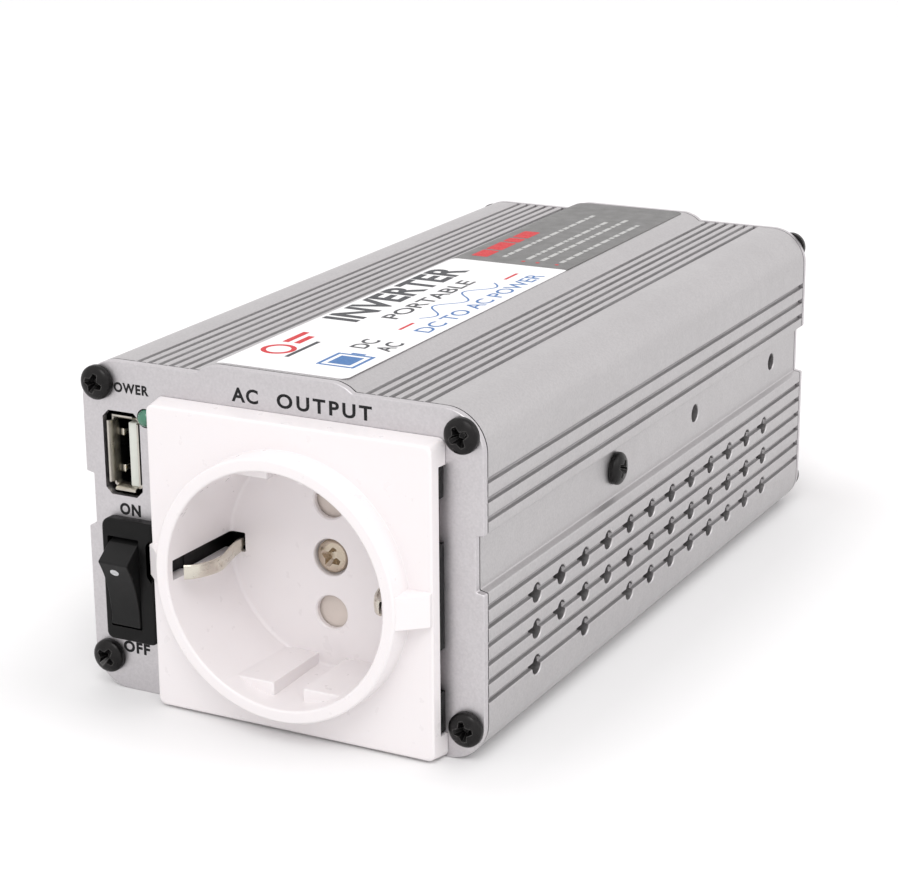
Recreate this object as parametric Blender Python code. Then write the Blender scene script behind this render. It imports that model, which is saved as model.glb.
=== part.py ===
"""A small power inverter with one grounded AC socket, a USB outlet and a rocker switch.

Frame: metres, +Z up. The origin is the centre of the underside. The front panel faces -Y,
the rear panel with the fan and the DC terminals faces +Y.
"""

import math

import bmesh
import bpy
from mathutils import Matrix, Vector

MM = 0.001

# Driving dimensions.
CASE_HALF_WIDTH = 37.5 * MM
CASE_HEIGHT = 58.35 * MM
PLATEAU_HEIGHT = 59.85 * MM
OVERALL_LENGTH = 145.0 * MM
PANEL_THICKNESS = 1.2 * MM
GAP = 0.3 * MM
SEAT_GAP = 0.1 * MM
WALL = 2.5 * MM

FRONT = -OVERALL_LENGTH / 2
REAR = OVERALL_LENGTH / 2
CASE_END = REAR - PANEL_THICKNESS - GAP

# Case profile.
TOP_CORNER_RADIUS = 7.0 * MM
BOTTOM_CORNER_RADIUS = 6.5 * MM
CHANNEL_DEPTH = 1.45 * MM
CHANNEL_BOTTOM = 28.7 * MM
CHANNEL_TOP = 38.4 * MM
GROOVE_WIDTH = 1.0 * MM
GROOVE_DEPTH = 0.9 * MM
GROOVE_PITCH = 3.16 * MM
FIRST_LOWER_GROOVE = 10.4 * MM
FIRST_UPPER_GROOVE = 40.7 * MM
OUTER_TOP_GROOVE = 26.9 * MM
TOP_GROOVE_PITCH = 2.1 * MM
TOP_GROOVES = 6
PLATEAU_HALF_WIDTH = 11.4 * MM
RAMP_FOOT = 14.6 * MM
LABEL_THICKNESS = 0.15 * MM
LABEL_SKEW = math.radians(0.36)
LABEL_X = -0.7 * MM
LABEL_HALF_WIDTH = 12.3 * MM

# Fasteners. A screw's size is its head radius, head height, shank radius and shank length.
PANEL_SCREW = (2.95 * MM, 1.9 * MM, 1.15 * MM, 9.0 * MM)
CLAMP_SCREW = (2.9 * MM, 1.8 * MM, 1.35 * MM, 12.5 * MM)
SOCKET_SCREW = (2.9 * MM, 1.6 * MM, 1.4 * MM, 9.0 * MM)
FAN_SCREW = (2.8 * MM, 1.8 * MM, 1.35 * MM, 9.5 * MM)
BOSS_HOLE_RADIUS = 1.45 * MM
PANEL_HOLE_RADIUS = 1.7 * MM
TOP_SCREW = (34.0 * MM, 54.4 * MM)
BOTTOM_SCREW = (34.4 * MM, 5.7 * MM)

# Holes along the side.
CLAMP_HOLE_HEIGHT = 34.05 * MM
CLAMP_HOLE_RADIUS = 1.7 * MM
CLAMP_HOLES = (-19.6 * MM, 17.3 * MM, 57.7 * MM)
VENT_RADIUS = 1.7 * MM
VENT_PITCH = 9.48 * MM
VENT_FIRST = -53.5 * MM
VENTS_IN_ROW = 12
VENT_ROWS = (22.75 * MM, 16.45 * MM, 10.15 * MM)
VENTS_LEFT_OUT_OF_LOWEST_ROW = (1, 3)

# AC socket.
SOCKET_X = 4.2 * MM
SOCKET_Z = 26.5 * MM
PLATE_Z = 26.75 * MM
PLATE_HALF = 26.3 * MM
PLATE_BACK_HALF = 26.7 * MM
PLATE_FRONT = FRONT - 4.0 * MM
PLATE_THICKNESS = 2.0 * MM
PLATE_EDGE = 0.6 * MM
SKIRT_LIP = 1.5 * MM
SKIRT_CORNER = 4.2 * MM
LUG_HALF_HEIGHT = 2.8 * MM
LUG_END = 26.2 * MM
RING_FRONT = FRONT - 9.0 * MM
RING_RADIUS = 22.2 * MM
MOUTH_RADIUS = 20.0 * MM
CUP_RADIUS = 21.3 * MM
CUP_FLOOR = RING_FRONT + 18.4 * MM
CUP_FLOOR_THICKNESS = 1.0 * MM
PIN_OFFSET = 9.7 * MM
PIN_HOLE_RADIUS = 2.9 * MM
BASE_RADIUS = 23.2 * MM
BASE_BACK = FRONT + 27.0 * MM
BASE_BACK_WALL = 2.0 * MM
WELL_END = BASE_BACK - BASE_BACK_WALL
CONTACT_WELL_HALF = 4.0 * MM
CONTACT_HALF = 3.6 * MM
CONTACT_BORE_RADIUS = 2.5 * MM
SHUTTER_FRONT = CUP_FLOOR + 1.3 * MM
SHUTTER_THICKNESS = 2.4 * MM
SHUTTER_RADIUS = 14.0 * MM
SHUTTER_TRAVEL = math.radians(40)
POCKET_FLOOR = SHUTTER_FRONT + SHUTTER_THICKNESS + 0.4 * MM
CLIP_ROOT_RADIUS = 17.4 * MM
TOWER_RADIUS = 22.0 * MM
TOWER_HALF_THICKNESS = 0.3 * MM
TOWER_HALF_WIDTH = 1.4 * MM
CLIP_WIDTH = 2.4 * MM
CLIP_Z = SOCKET_Z - 0.35 * MM
CLIP_THICKNESS = 0.6 * MM
CLIP_WELL_HALF = (1.8 * MM, 2.2 * MM)
SLOT_HALF_HEIGHT = 1.72 * MM
SLOT_RADII = (16.6 * MM, 22.6 * MM)
SLOT_FRONT = RING_FRONT + 1.6 * MM
KEY_FLAT = 17.4 * MM
KEY_INNER = 2.75 * MM
BOSS_END = POCKET_FLOOR - GAP
SCREW_SEAT = BOSS_END - 2.2 * MM
SCREW_BORE_RADIUS = 1.8 * MM

# Rocker switch.
SWITCH_X = -28.55 * MM
SWITCH_Z = 20.5 * MM
BEZEL_HALF_WIDTH = 5.1 * MM
BEZEL_HALF_HEIGHT = 10.85 * MM
BEZEL_FRONT = FRONT - 2.0 * MM
SWITCH_BODY = (-33.1 * MM, -24.9 * MM)
SWITCH_BODY_HALF_HEIGHT = 10.0 * MM
ROCKER_X = -29.35 * MM
ROCKER_HALF_WIDTH = 2.9 * MM
ROCKER_PIVOT_Y = FRONT + 2.5 * MM
ROCKER_PIVOT_Z = 20.2 * MM
ROCKER_TILT = math.radians(14)
WINDOW_HALF_HEIGHT = 8.1 * MM

# USB outlet and power light.
USB_X = -29.9 * MM
USB_Z = 42.35 * MM
USB_OPENING_HALF = (3.7 * MM, 7.35 * MM)
USB_SHELL_HALF = (3.2 * MM, 6.75 * MM)
USB_TONGUE_HALF = (0.92 * MM, 5.6 * MM)
LED_X = -25.0 * MM
LED_Z = 49.15 * MM
LED_RADIUS = 1.45 * MM

# Rear end.
FAN_X = -13.5 * MM
FAN_Z = 29.2 * MM
FAN_SIZE = 40.0 * MM
FAN_DEPTH = 10.0 * MM
FAN_HOLE_OFFSET = 16.0 * MM
FAN_BACK = REAR - PANEL_THICKNESS - GAP
GRILLE_RINGS = (5.6 * MM, 10.2 * MM, 14.8 * MM)
GRILLE_SLOT_WIDTH = 3.2 * MM
SPOKE_HALF_WIDTH = 1.1 * MM
TERMINAL_X = 21.5 * MM
TERMINAL_Z = {"red": 40.5 * MM, "black": 18.0 * MM}
TERMINAL_HOLE_RADIUS = 4.4 * MM
STUD_RADIUS = 2.5 * MM
STUD_BORE_RADIUS = 2.85 * MM
KNOB_RADIUS = 6.4 * MM
KNOB_LENGTH = 13.0 * MM

# Circuit board.
BOARD_BOTTOM = 5.1 * MM
BOARD_TOP = 6.7 * MM
BOARD_HALF_WIDTH = 31.0 * MM
MOUNTED = BOARD_TOP + GAP


# ---------------------------------------------------------------- helpers


def clear_scene():
    for obj in list(bpy.data.objects):
        bpy.data.objects.remove(obj, do_unlink=True)


def material(name, colour, roughness, metallic=0.0):
    """A plain Principled material, made once for each name."""
    found = bpy.data.materials.get(name)
    if found:
        return found
    made = bpy.data.materials.new(name)
    made.use_nodes = True
    shader = made.node_tree.nodes["Principled BSDF"]
    shader.inputs["Base Color"].default_value = (*colour, 1.0)
    shader.inputs["Roughness"].default_value = roughness
    shader.inputs["Metallic"].default_value = metallic
    return made


def satin_aluminium():
    return material("satin_aluminium", (0.62, 0.62, 0.63), 0.38, 1.0)


def white_plastic():
    return material("white_plastic", (0.88, 0.88, 0.88), 0.3)


def black_plastic():
    return material("black_plastic", (0.02, 0.022, 0.023), 0.4)


def black_steel():
    return material("black_steel", (0.02, 0.02, 0.02), 0.28, 0.6)


def nickel():
    return material("nickel", (0.72, 0.68, 0.6), 0.25, 1.0)


def brass():
    return material("brass", (0.78, 0.57, 0.24), 0.3, 1.0)


def board_green():
    return material("board_green", (0.03, 0.2, 0.08), 0.45)


def make_object(name, bm, finish):
    """Turns a bmesh into a named object with its faces pointing out."""
    bmesh.ops.remove_doubles(bm, verts=bm.verts, dist=1e-7)
    bmesh.ops.recalc_face_normals(bm, faces=bm.faces)
    mesh = bpy.data.meshes.new(name)
    bm.to_mesh(mesh)
    bm.free()
    mesh.shade_smooth()
    mesh.set_sharp_from_angle(angle=math.radians(35))
    mesh.materials.append(finish)
    obj = bpy.data.objects.new(name, mesh)
    bpy.context.scene.collection.objects.link(obj)
    return obj


def shape(name, parts, finish, minus=(), plus=()):
    """Joins bmeshes with Boolean unions, then cuts others away, and keeps the result as one mesh."""
    obj = make_object(name, parts, finish)
    tools = []
    for operation, group in (("UNION", plus), ("DIFFERENCE", minus)):
        for index, bm in enumerate(group):
            tool = make_object(f"{name}_{operation.lower()}_{index}", bm, finish)
            tool.hide_render = True
            tool.display_type = "WIRE"
            modifier = obj.modifiers.new(tool.name, "BOOLEAN")
            modifier.operation = operation
            modifier.object = tool
            modifier.solver = "EXACT"
            tools.append(tool)
    if tools:
        bpy.context.view_layer.update()
        graph = bpy.context.evaluated_depsgraph_get()
        mesh = bpy.data.meshes.new_from_object(obj.evaluated_get(graph))
        obj.modifiers.clear()
        obj.data = mesh
        mesh.name = name
        for tool in tools:
            bpy.data.objects.remove(tool, do_unlink=True)
    return obj


def copy_of(obj, name, offset):
    """A second object that shares the mesh, moved by offset."""
    twin = bpy.data.objects.new(name, obj.data)
    twin.location = obj.location + Vector(offset)
    bpy.context.scene.collection.objects.link(twin)
    return twin


def set_origin(obj, point):
    """Moves the object's origin to a point on its joint's axis; the shape stays where it is."""
    obj.data.transform(Matrix.Translation(-Vector(point)))
    obj.location = point


def box(low, high):
    """A bmesh box between two corners."""
    bm = bmesh.new()
    size = Vector(high) - Vector(low)
    middle = (Vector(high) + Vector(low)) / 2
    matrix = Matrix.Translation(middle) @ Matrix.Diagonal((*size, 1.0))
    bmesh.ops.create_cube(bm, size=1.0, matrix=matrix)
    return bm


def joined(*meshes):
    """Several separate closed bmeshes in one, used as a cutter."""
    whole = bmesh.new()
    for bm in meshes:
        scratch = bpy.data.meshes.new("scratch")
        bmesh.ops.recalc_face_normals(bm, faces=bm.faces)
        bm.to_mesh(scratch)
        bm.free()
        whole.from_mesh(scratch)
        bpy.data.meshes.remove(scratch)
    return whole


AXES = {
    "x": Matrix(((0, 0, 1), (1, 0, 0), (0, 1, 0))),
    "y": Matrix(((1, 0, 0), (0, 0, 1), (0, 1, 0))),
    "z": Matrix.Identity(3),
}


def prism(outline, axis, start, end):
    """Extrudes an outline along an axis. Its points are (y, z), (x, z) or (x, y)."""
    bm = bmesh.new()
    turn = AXES[axis]
    near = [bm.verts.new(turn @ Vector((*point, start))) for point in outline]
    face = bm.faces.new(near)
    extruded = bmesh.ops.extrude_face_region(bm, geom=[face])
    moved = [item for item in extruded["geom"] if isinstance(item, bmesh.types.BMVert)]
    bmesh.ops.translate(bm, verts=moved, vec=turn @ Vector((0, 0, end - start)))
    bmesh.ops.recalc_face_normals(bm, faces=bm.faces)
    return bm


def turned(profile, centre, axis="y", segments=24):
    """Spins a closed (radius, distance) profile about an axis through centre."""
    bm = bmesh.new()
    turn = AXES[axis]
    verts = [bm.verts.new((radius, 0, height)) for radius, height in profile]
    edges = [
        bm.edges.new((verts[i], verts[(i + 1) % len(verts)]))
        for i in range(len(verts))
        if not (profile[i][0] == 0 and profile[(i + 1) % len(verts)][0] == 0)
    ]
    bmesh.ops.spin(
        bm,
        geom=verts + edges,
        cent=(0, 0, 0),
        axis=(0, 0, 1),
        angle=math.tau,
        steps=segments,
        use_merge=True,
    )
    bmesh.ops.remove_doubles(bm, verts=bm.verts, dist=1e-7)
    bmesh.ops.transform(bm, matrix=Matrix.Translation(centre) @ turn.to_4x4(), verts=bm.verts)
    bmesh.ops.recalc_face_normals(bm, faces=bm.faces)
    return bm


def rod(radius, centre, start, end, axis="y", segments=12):
    """A plain cylinder from start to end along an axis through centre."""
    return turned([(0, start), (radius, start), (radius, end), (0, end)], centre, axis, segments)


def tube(inner, outer, centre, start, end, axis="y", segments=24):
    profile = [(inner, start), (outer, start), (outer, end), (inner, end)]
    return turned(profile, centre, axis, segments)


def arc(centre, radius, start, end, steps):
    """Points of an arc, with its angles in degrees."""
    points = []
    for i in range(steps + 1):
        angle = math.radians(start + (end - start) * i / steps)
        points.append((centre[0] + radius * math.cos(angle), centre[1] + radius * math.sin(angle)))
    return points


def rectangle(x0, z0, x1, z1, chamfer=0.0):
    if not chamfer:
        return [(x0, z0), (x1, z0), (x1, z1), (x0, z1)]
    return [
        (x0 + chamfer, z0),
        (x1 - chamfer, z0),
        (x1, z0 + chamfer),
        (x1, z1 - chamfer),
        (x1 - chamfer, z1),
        (x0 + chamfer, z1),
        (x0, z1 - chamfer),
        (x0, z0 + chamfer),
    ]


def strip_outline(path, thickness):
    """The closed outline of a bent strip that follows a path of points."""
    left, right = [], []
    for i, point in enumerate(path):
        before = Vector(path[max(i - 1, 0)])
        after = Vector(path[min(i + 1, len(path) - 1)])
        along = (after - before).normalized()
        across = Vector((-along.y, along.x)) * thickness / 2
        left.append(tuple(Vector(point) + across))
        right.append(tuple(Vector(point) - across))
    return left + right[::-1]


def wire(name, path, radius, finish):
    """A round cable along a smooth path."""
    curve = bpy.data.curves.new(name, "CURVE")
    curve.dimensions = "3D"
    curve.bevel_depth = radius
    curve.bevel_resolution = 1
    curve.use_fill_caps = True
    curve.resolution_u = 4
    spline = curve.splines.new("BEZIER")
    spline.bezier_points.add(len(path) - 1)
    for knot, point in zip(spline.bezier_points, path):
        knot.co = point
        knot.handle_left_type = "AUTO"
        knot.handle_right_type = "AUTO"
    curve.materials.append(finish)
    obj = bpy.data.objects.new(name, curve)
    bpy.context.scene.collection.objects.link(obj)
    return obj


# ---------------------------------------------------------------- case and panels


def lower_groove_heights():
    return [FIRST_LOWER_GROOVE + i * GROOVE_PITCH for i in range(6)]


def upper_groove_heights():
    return [FIRST_UPPER_GROOVE + i * GROOVE_PITCH for i in range(3)]


def side_groove(height):
    half = GROOVE_WIDTH / 2
    bottom = CASE_HALF_WIDTH - GROOVE_DEPTH
    return [
        (CASE_HALF_WIDTH, height - half),
        (bottom, height - half),
        (bottom, height + half),
        (CASE_HALF_WIDTH, height + half),
    ]


def top_groove(x):
    half = GROOVE_WIDTH / 2
    bottom = CASE_HEIGHT - GROOVE_DEPTH
    return [
        (x + half, CASE_HEIGHT),
        (x + half, bottom),
        (x - half, bottom),
        (x - half, CASE_HEIGHT),
    ]


def case_outline(grooved):
    """The outside of the case, anticlockwise from the bottom. The panels leave the grooves out."""
    side = CASE_HALF_WIDTH
    top = CASE_HEIGHT
    channel_floor = CASE_HALF_WIDTH - CHANNEL_DEPTH
    half = arc(
        (CASE_HALF_WIDTH - BOTTOM_CORNER_RADIUS, BOTTOM_CORNER_RADIUS),
        BOTTOM_CORNER_RADIUS,
        -90,
        0,
        6,
    )
    if grooved:
        for height in lower_groove_heights():
            half += side_groove(height)
    half += [
        (side, CHANNEL_BOTTOM),
        (channel_floor, CHANNEL_BOTTOM + 0.3 * MM),
        (channel_floor, CHANNEL_TOP - 0.3 * MM),
        (side, CHANNEL_TOP),
    ]
    if grooved:
        for height in upper_groove_heights():
            half += side_groove(height)
    half += arc(
        (CASE_HALF_WIDTH - TOP_CORNER_RADIUS, CASE_HEIGHT - TOP_CORNER_RADIUS),
        TOP_CORNER_RADIUS,
        0,
        90,
        6,
    )
    if grooved:
        for i in range(TOP_GROOVES):
            half += top_groove(OUTER_TOP_GROOVE - i * TOP_GROOVE_PITCH)
    half += [
        (RAMP_FOOT, top),
        (RAMP_FOOT - 1.2 * MM, top + 0.75 * MM),
        (RAMP_FOOT - 2.1 * MM, top + 1.25 * MM),
        (PLATEAU_HALF_WIDTH, PLATEAU_HEIGHT),
    ]
    return half + [(-x, z) for x, z in reversed(half)]


def cavity_outline():
    """The inside of the case, with its screw bosses, board guides and channel wall."""
    side = CASE_HALF_WIDTH - WALL
    behind_channel = side - 1.3 * MM
    boss = 31.3 * MM
    guide = 29.6 * MM
    ceiling = CASE_HEIGHT - 2.2 * MM
    half = [
        (boss, 2.0 * MM),
        (boss, 4.0 * MM),
        (guide, 4.0 * MM),
        (guide, 4.8 * MM),
        (boss, 4.8 * MM),
        (boss, 7.0 * MM),
        (guide, 7.0 * MM),
        (guide, 7.8 * MM),
        (side, 8.3 * MM),
        (side, CHANNEL_BOTTOM - 2.0 * MM),
        (behind_channel, CHANNEL_BOTTOM - 0.7 * MM),
        (behind_channel, CHANNEL_TOP + 0.7 * MM),
        (side, CHANNEL_TOP + 2.0 * MM),
        (side, 50.5 * MM),
        (boss, 51.9 * MM),
        (boss - 0.2 * MM, ceiling),
    ]
    return half + [(-x, z) for x, z in reversed(half)]


def corner_screw_places():
    """(x, z) of the four corner screws of a panel: top left, top right, bottom left, bottom right."""
    return [(side * x, z) for x, z in (TOP_SCREW, BOTTOM_SCREW) for side in (-1, 1)]


def vent_drills():
    drills = []
    for row, height in enumerate(VENT_ROWS):
        for i in range(VENTS_IN_ROW):
            if row == 2 and i in VENTS_LEFT_OUT_OF_LOWEST_ROW:
                continue
            centre = (0, VENT_FIRST + i * VENT_PITCH, height)
            for side in (-1, 1):
                inner = side * (CASE_HALF_WIDTH - WALL - 1.0 * MM)
                outer = side * (CASE_HALF_WIDTH + 1.0 * MM)
                drills.append(rod(VENT_RADIUS, centre, inner, outer, "x", 8))
    return drills


def build_case():
    corner_holes = [
        rod(BOSS_HOLE_RADIUS, (x, 0, z), -REAR, REAR, "y", 10) for x, z in corner_screw_places()
    ]
    clamp_holes = [
        rod(CLAMP_HOLE_RADIUS, (0, y, CLAMP_HOLE_HEIGHT), 30 * MM, 40 * MM, "x", 12)
        for y in CLAMP_HOLES
    ]
    shape(
        "case_extrusion",
        prism(case_outline(True), "y", -CASE_END, CASE_END),
        satin_aluminium(),
        minus=[
            prism(cavity_outline(), "y", -REAR, REAR),
            joined(*corner_holes),
            joined(*vent_drills(), *clamp_holes),
        ],
    )


def panel_holes(start, end):
    return [rod(PANEL_HOLE_RADIUS, (x, 0, z), start, end, "y", 12) for x, z in corner_screw_places()]


def build_front_panel():
    start, end = FRONT - MM, FRONT + PANEL_THICKNESS + MM
    half_x, half_z = USB_OPENING_HALF
    usb = rectangle(USB_X - half_x, USB_Z - half_z, USB_X + half_x, USB_Z + half_z, 1.2 * MM)
    switch = rectangle(
        SWITCH_BODY[0] - GAP,
        SWITCH_Z - SWITCH_BODY_HALF_HEIGHT - GAP,
        SWITCH_BODY[1] + GAP,
        SWITCH_Z + SWITCH_BODY_HALF_HEIGHT + GAP,
    )
    socket = rod(BASE_RADIUS + GAP, (SOCKET_X, 0, SOCKET_Z), start, end, "y", 40)
    led = rod(LED_RADIUS + 0.2 * MM, (LED_X, 0, LED_Z), start, end, "y", 16)
    shape(
        "front_panel",
        prism(case_outline(False), "y", FRONT, FRONT + PANEL_THICKNESS),
        satin_aluminium(),
        minus=[
            joined(
                prism(usb, "y", start, end),
                prism(switch, "y", start, end),
                socket,
                *panel_holes(start, end),
            ),
            led,
        ],
    )


def grille_slot(inner, quarter):
    """One arc-shaped slot of the fan grille, kept clear of the spokes on both sides."""
    outer = inner + GRILLE_SLOT_WIDTH
    first = math.degrees(math.asin(SPOKE_HALF_WIDTH / inner))
    outer_first = math.degrees(math.asin(SPOKE_HALF_WIDTH / outer))
    centre = (FAN_X, FAN_Z)
    start = 90 * quarter
    there = arc(centre, inner, start + first, start + 90 - first, 4)
    back = arc(centre, outer, start + 90 - outer_first, start + outer_first, 4)
    return there + back


def build_rear_panel():
    start, end = REAR - PANEL_THICKNESS - MM, REAR + MM
    slots = [
        prism(grille_slot(inner, quarter), "y", start, end)
        for inner in GRILLE_RINGS
        for quarter in range(4)
    ]
    terminals = [
        rod(TERMINAL_HOLE_RADIUS, (TERMINAL_X, 0, z), start, end, "y", 16)
        for z in TERMINAL_Z.values()
    ]
    fan_screws = [
        rod(PANEL_HOLE_RADIUS, (x, 0, z), start, end, "y", 12) for x, z in fan_screw_places()
    ]
    shape(
        "rear_panel",
        prism(case_outline(False), "y", REAR - PANEL_THICKNESS, REAR),
        satin_aluminium(),
        minus=[joined(*slots, *terminals, *fan_screws, *panel_holes(start, end))],
    )


# ---------------------------------------------------------------- screws


def pan_screw(name, size, finish):
    """A pan-head screw with a cross recess, pointing along +Y, with its seat at the origin."""
    head_radius, head_height, shank_radius, length = size
    profile = [
        (0, -head_height),
        (head_radius * 0.62, -head_height * 0.9),
        (head_radius, -head_height * 0.3),
        (head_radius, 0),
        (shank_radius, 0),
        (shank_radius, length),
        (0, length),
    ]
    reach, half = head_radius * 0.5, head_radius * 0.13
    cross = [
        (half, half),
        (half, reach),
        (-half, reach),
        (-half, half),
        (-reach, half),
        (-reach, -half),
        (-half, -half),
        (-half, -reach),
        (half, -reach),
        (half, -half),
        (reach, -half),
        (reach, half),
    ]
    recess = prism(cross, "y", -head_height * 1.5, -head_height * 0.4)
    return shape(name, turned(profile, (0, 0, 0), "y", 12), finish, minus=[recess])


def build_panel_screws():
    front = pan_screw("front_panel_screw_1", PANEL_SCREW, black_steel())
    for index, (x, z) in enumerate(corner_screw_places(), start=1):
        screw = front if index == 1 else copy_of(front, f"front_panel_screw_{index}", (0, 0, 0))
        screw.location = (x, FRONT - SEAT_GAP, z)
    for index, (x, z) in enumerate(corner_screw_places(), start=1):
        screw = copy_of(front, f"rear_panel_screw_{index}", (0, 0, 0))
        screw.rotation_euler = (0, 0, math.pi)
        screw.location = (x, REAR + SEAT_GAP, z)


def build_clamp_screw():
    screw = pan_screw("side_clamp_screw", CLAMP_SCREW, black_steel())
    screw.rotation_euler = (0, 0, math.pi / 2)
    channel = CASE_HALF_WIDTH - CHANNEL_DEPTH
    screw.location = (channel + SEAT_GAP, CLAMP_HOLES[0], CLAMP_HOLE_HEIGHT)


# ---------------------------------------------------------------- AC socket


def socket_point(dx=0.0, dz=0.0):
    return (SOCKET_X + dx, 0, SOCKET_Z + dz)


def cup_profile():
    """Ring, cup wall, floor and the centre boss as one turned shape."""
    floor_back = CUP_FLOOR + CUP_FLOOR_THICKNESS
    boss, bore = 3.9 * MM, 3.2 * MM
    return [
        (RING_RADIUS, PLATE_FRONT + PLATE_THICKNESS / 2),
        (RING_RADIUS, RING_FRONT + 0.35 * MM),
        (RING_RADIUS - 0.35 * MM, RING_FRONT),
        (MOUTH_RADIUS + 0.3 * MM, RING_FRONT),
        (MOUTH_RADIUS, RING_FRONT + 0.4 * MM),
        (MOUTH_RADIUS - 0.4 * MM, CUP_FLOOR - 0.6 * MM),
        (MOUTH_RADIUS - 1.0 * MM, CUP_FLOOR),
        (bore, CUP_FLOOR),
        (bore, SCREW_SEAT),
        (SCREW_BORE_RADIUS, SCREW_SEAT),
        (SCREW_BORE_RADIUS, BOSS_END),
        (boss, BOSS_END),
        (boss, floor_back),
        (CUP_RADIUS, floor_back),
        (CUP_RADIUS, PLATE_FRONT + PLATE_THICKNESS / 2),
    ]


def guide_keys():
    """The two pairs of ribs at the top and bottom of the cup, with a channel between each pair."""
    outer = MOUTH_RADIUS + 0.6 * MM
    start = math.degrees(math.acos(KEY_FLAT / outer))
    end = math.degrees(math.asin(KEY_INNER / outer))
    keys = []
    for up in (-1, 1):
        for side in (-1, 1):
            edge = [
                (SOCKET_X + side * x, SOCKET_Z + up * z)
                for x, z in arc((0, 0), outer, 90 - start, 90 - end, 4)
            ]
            edge.append((SOCKET_X + side * KEY_INNER, SOCKET_Z + up * KEY_FLAT))
            keys.append(
                prism(edge, "y", RING_FRONT + 4.1 * MM, CUP_FLOOR + CUP_FLOOR_THICKNESS / 2)
            )
    return keys


def cross_outline(reach, lip, corner):
    """A square with wide arms to the left and right, centred on the plate."""
    quarter = [(reach, corner), (lip, corner), (lip, lip)]
    right = [(x, -z) for x, z in quarter[::-1]] + quarter
    outline = right + [(-x, z) for x, z in reversed(right)]
    return [(SOCKET_X + x, PLATE_Z + z) for x, z in outline]


def plate():
    """The square plate, with a skirt down to the panel along its top, its bottom and its corners."""
    block = box((-1, PLATE_FRONT, -1), (1, FRONT - SEAT_GAP, 1))
    for vert in block.verts:
        half = PLATE_HALF if vert.co.y == min(v.co.y for v in block.verts) else PLATE_BACK_HALF
        vert.co.x = SOCKET_X + half * vert.co.x
        vert.co.z = PLATE_Z + half * vert.co.z
    edges = [edge for edge in block.edges if any(v.co.y < PLATE_FRONT + MM for v in edge.verts)]
    bmesh.ops.bevel(block, geom=edges, offset=PLATE_EDGE, segments=2, profile=0.5, affect="EDGES")
    lip = PLATE_BACK_HALF - SKIRT_LIP
    corner = PLATE_BACK_HALF - SKIRT_CORNER
    hollow = prism(
        cross_outline(PLATE_BACK_HALF + MM, lip, corner), "y", PLATE_FRONT + PLATE_THICKNESS, FRONT
    )
    mouth = rod(
        MOUTH_RADIUS + 0.8 * MM, socket_point(), RING_FRONT - MM, PLATE_FRONT + 3 * MM, "y", 48
    )
    cut = shape("plate", block, white_plastic(), minus=[hollow, mouth])
    mesh = bmesh.new()
    mesh.from_mesh(cut.data)
    bpy.data.objects.remove(cut, do_unlink=True)
    return mesh


def side_lug(side):
    """A ramp that runs from the ring's front down to the plate's edge."""
    outline = [
        (RING_RADIUS - MM, PLATE_FRONT + 0.5 * MM),
        (RING_RADIUS - MM, RING_FRONT + 0.5 * MM),
        (RING_RADIUS - 0.2 * MM, RING_FRONT + 0.5 * MM),
        (LUG_END, PLATE_FRONT - 0.7 * MM),
        (LUG_END, PLATE_FRONT + 0.5 * MM),
    ]
    outline = [(SOCKET_X + side * x, y) for x, y in outline]
    return prism(outline, "z", SOCKET_Z - LUG_HALF_HEIGHT, SOCKET_Z + LUG_HALF_HEIGHT)


def clip_slot(side):
    """The opening through the cup's wall and floor for an earth clip."""
    near, far = (SOCKET_X + side * radius for radius in SLOT_RADII)
    return box(
        (min(near, far), SLOT_FRONT, SOCKET_Z - SLOT_HALF_HEIGHT),
        (max(near, far), CUP_FLOOR + 3 * MM, SOCKET_Z + SLOT_HALF_HEIGHT),
    )


def build_socket_cover():
    pins = [
        rod(PIN_HOLE_RADIUS, socket_point(0, dz), CUP_FLOOR - MM, CUP_FLOOR + 3 * MM, "y", 16)
        for dz in (-PIN_OFFSET, PIN_OFFSET)
    ]
    shape(
        "socket_cover",
        turned(cup_profile(), socket_point(), "y", 48),
        white_plastic(),
        plus=[plate(), side_lug(-1), side_lug(1), *guide_keys()],
        minus=[joined(*pins, clip_slot(-1), clip_slot(1))],
    )


def base_flange_outline():
    """The square flange behind the plate, with two notches in each side."""
    half_x, half_z, notch = 26.3 * MM, 22.1 * MM, 3.5 * MM
    steps = [-half_z, -15.25 * MM, -8.0 * MM, 9.65 * MM, 17.15 * MM, half_z]
    right = [
        (half_x, steps[0]),
        (half_x, steps[1]),
        (half_x - notch, steps[1]),
        (half_x - notch, steps[2]),
        (half_x, steps[2]),
        (half_x, steps[3]),
        (half_x - notch, steps[3]),
        (half_x - notch, steps[4]),
        (half_x, steps[4]),
        (half_x, steps[5]),
    ]
    outline = right + [(-x, z) for x, z in reversed(right)]
    return [(SOCKET_X + x, PLATE_Z + z) for x, z in outline]


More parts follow.
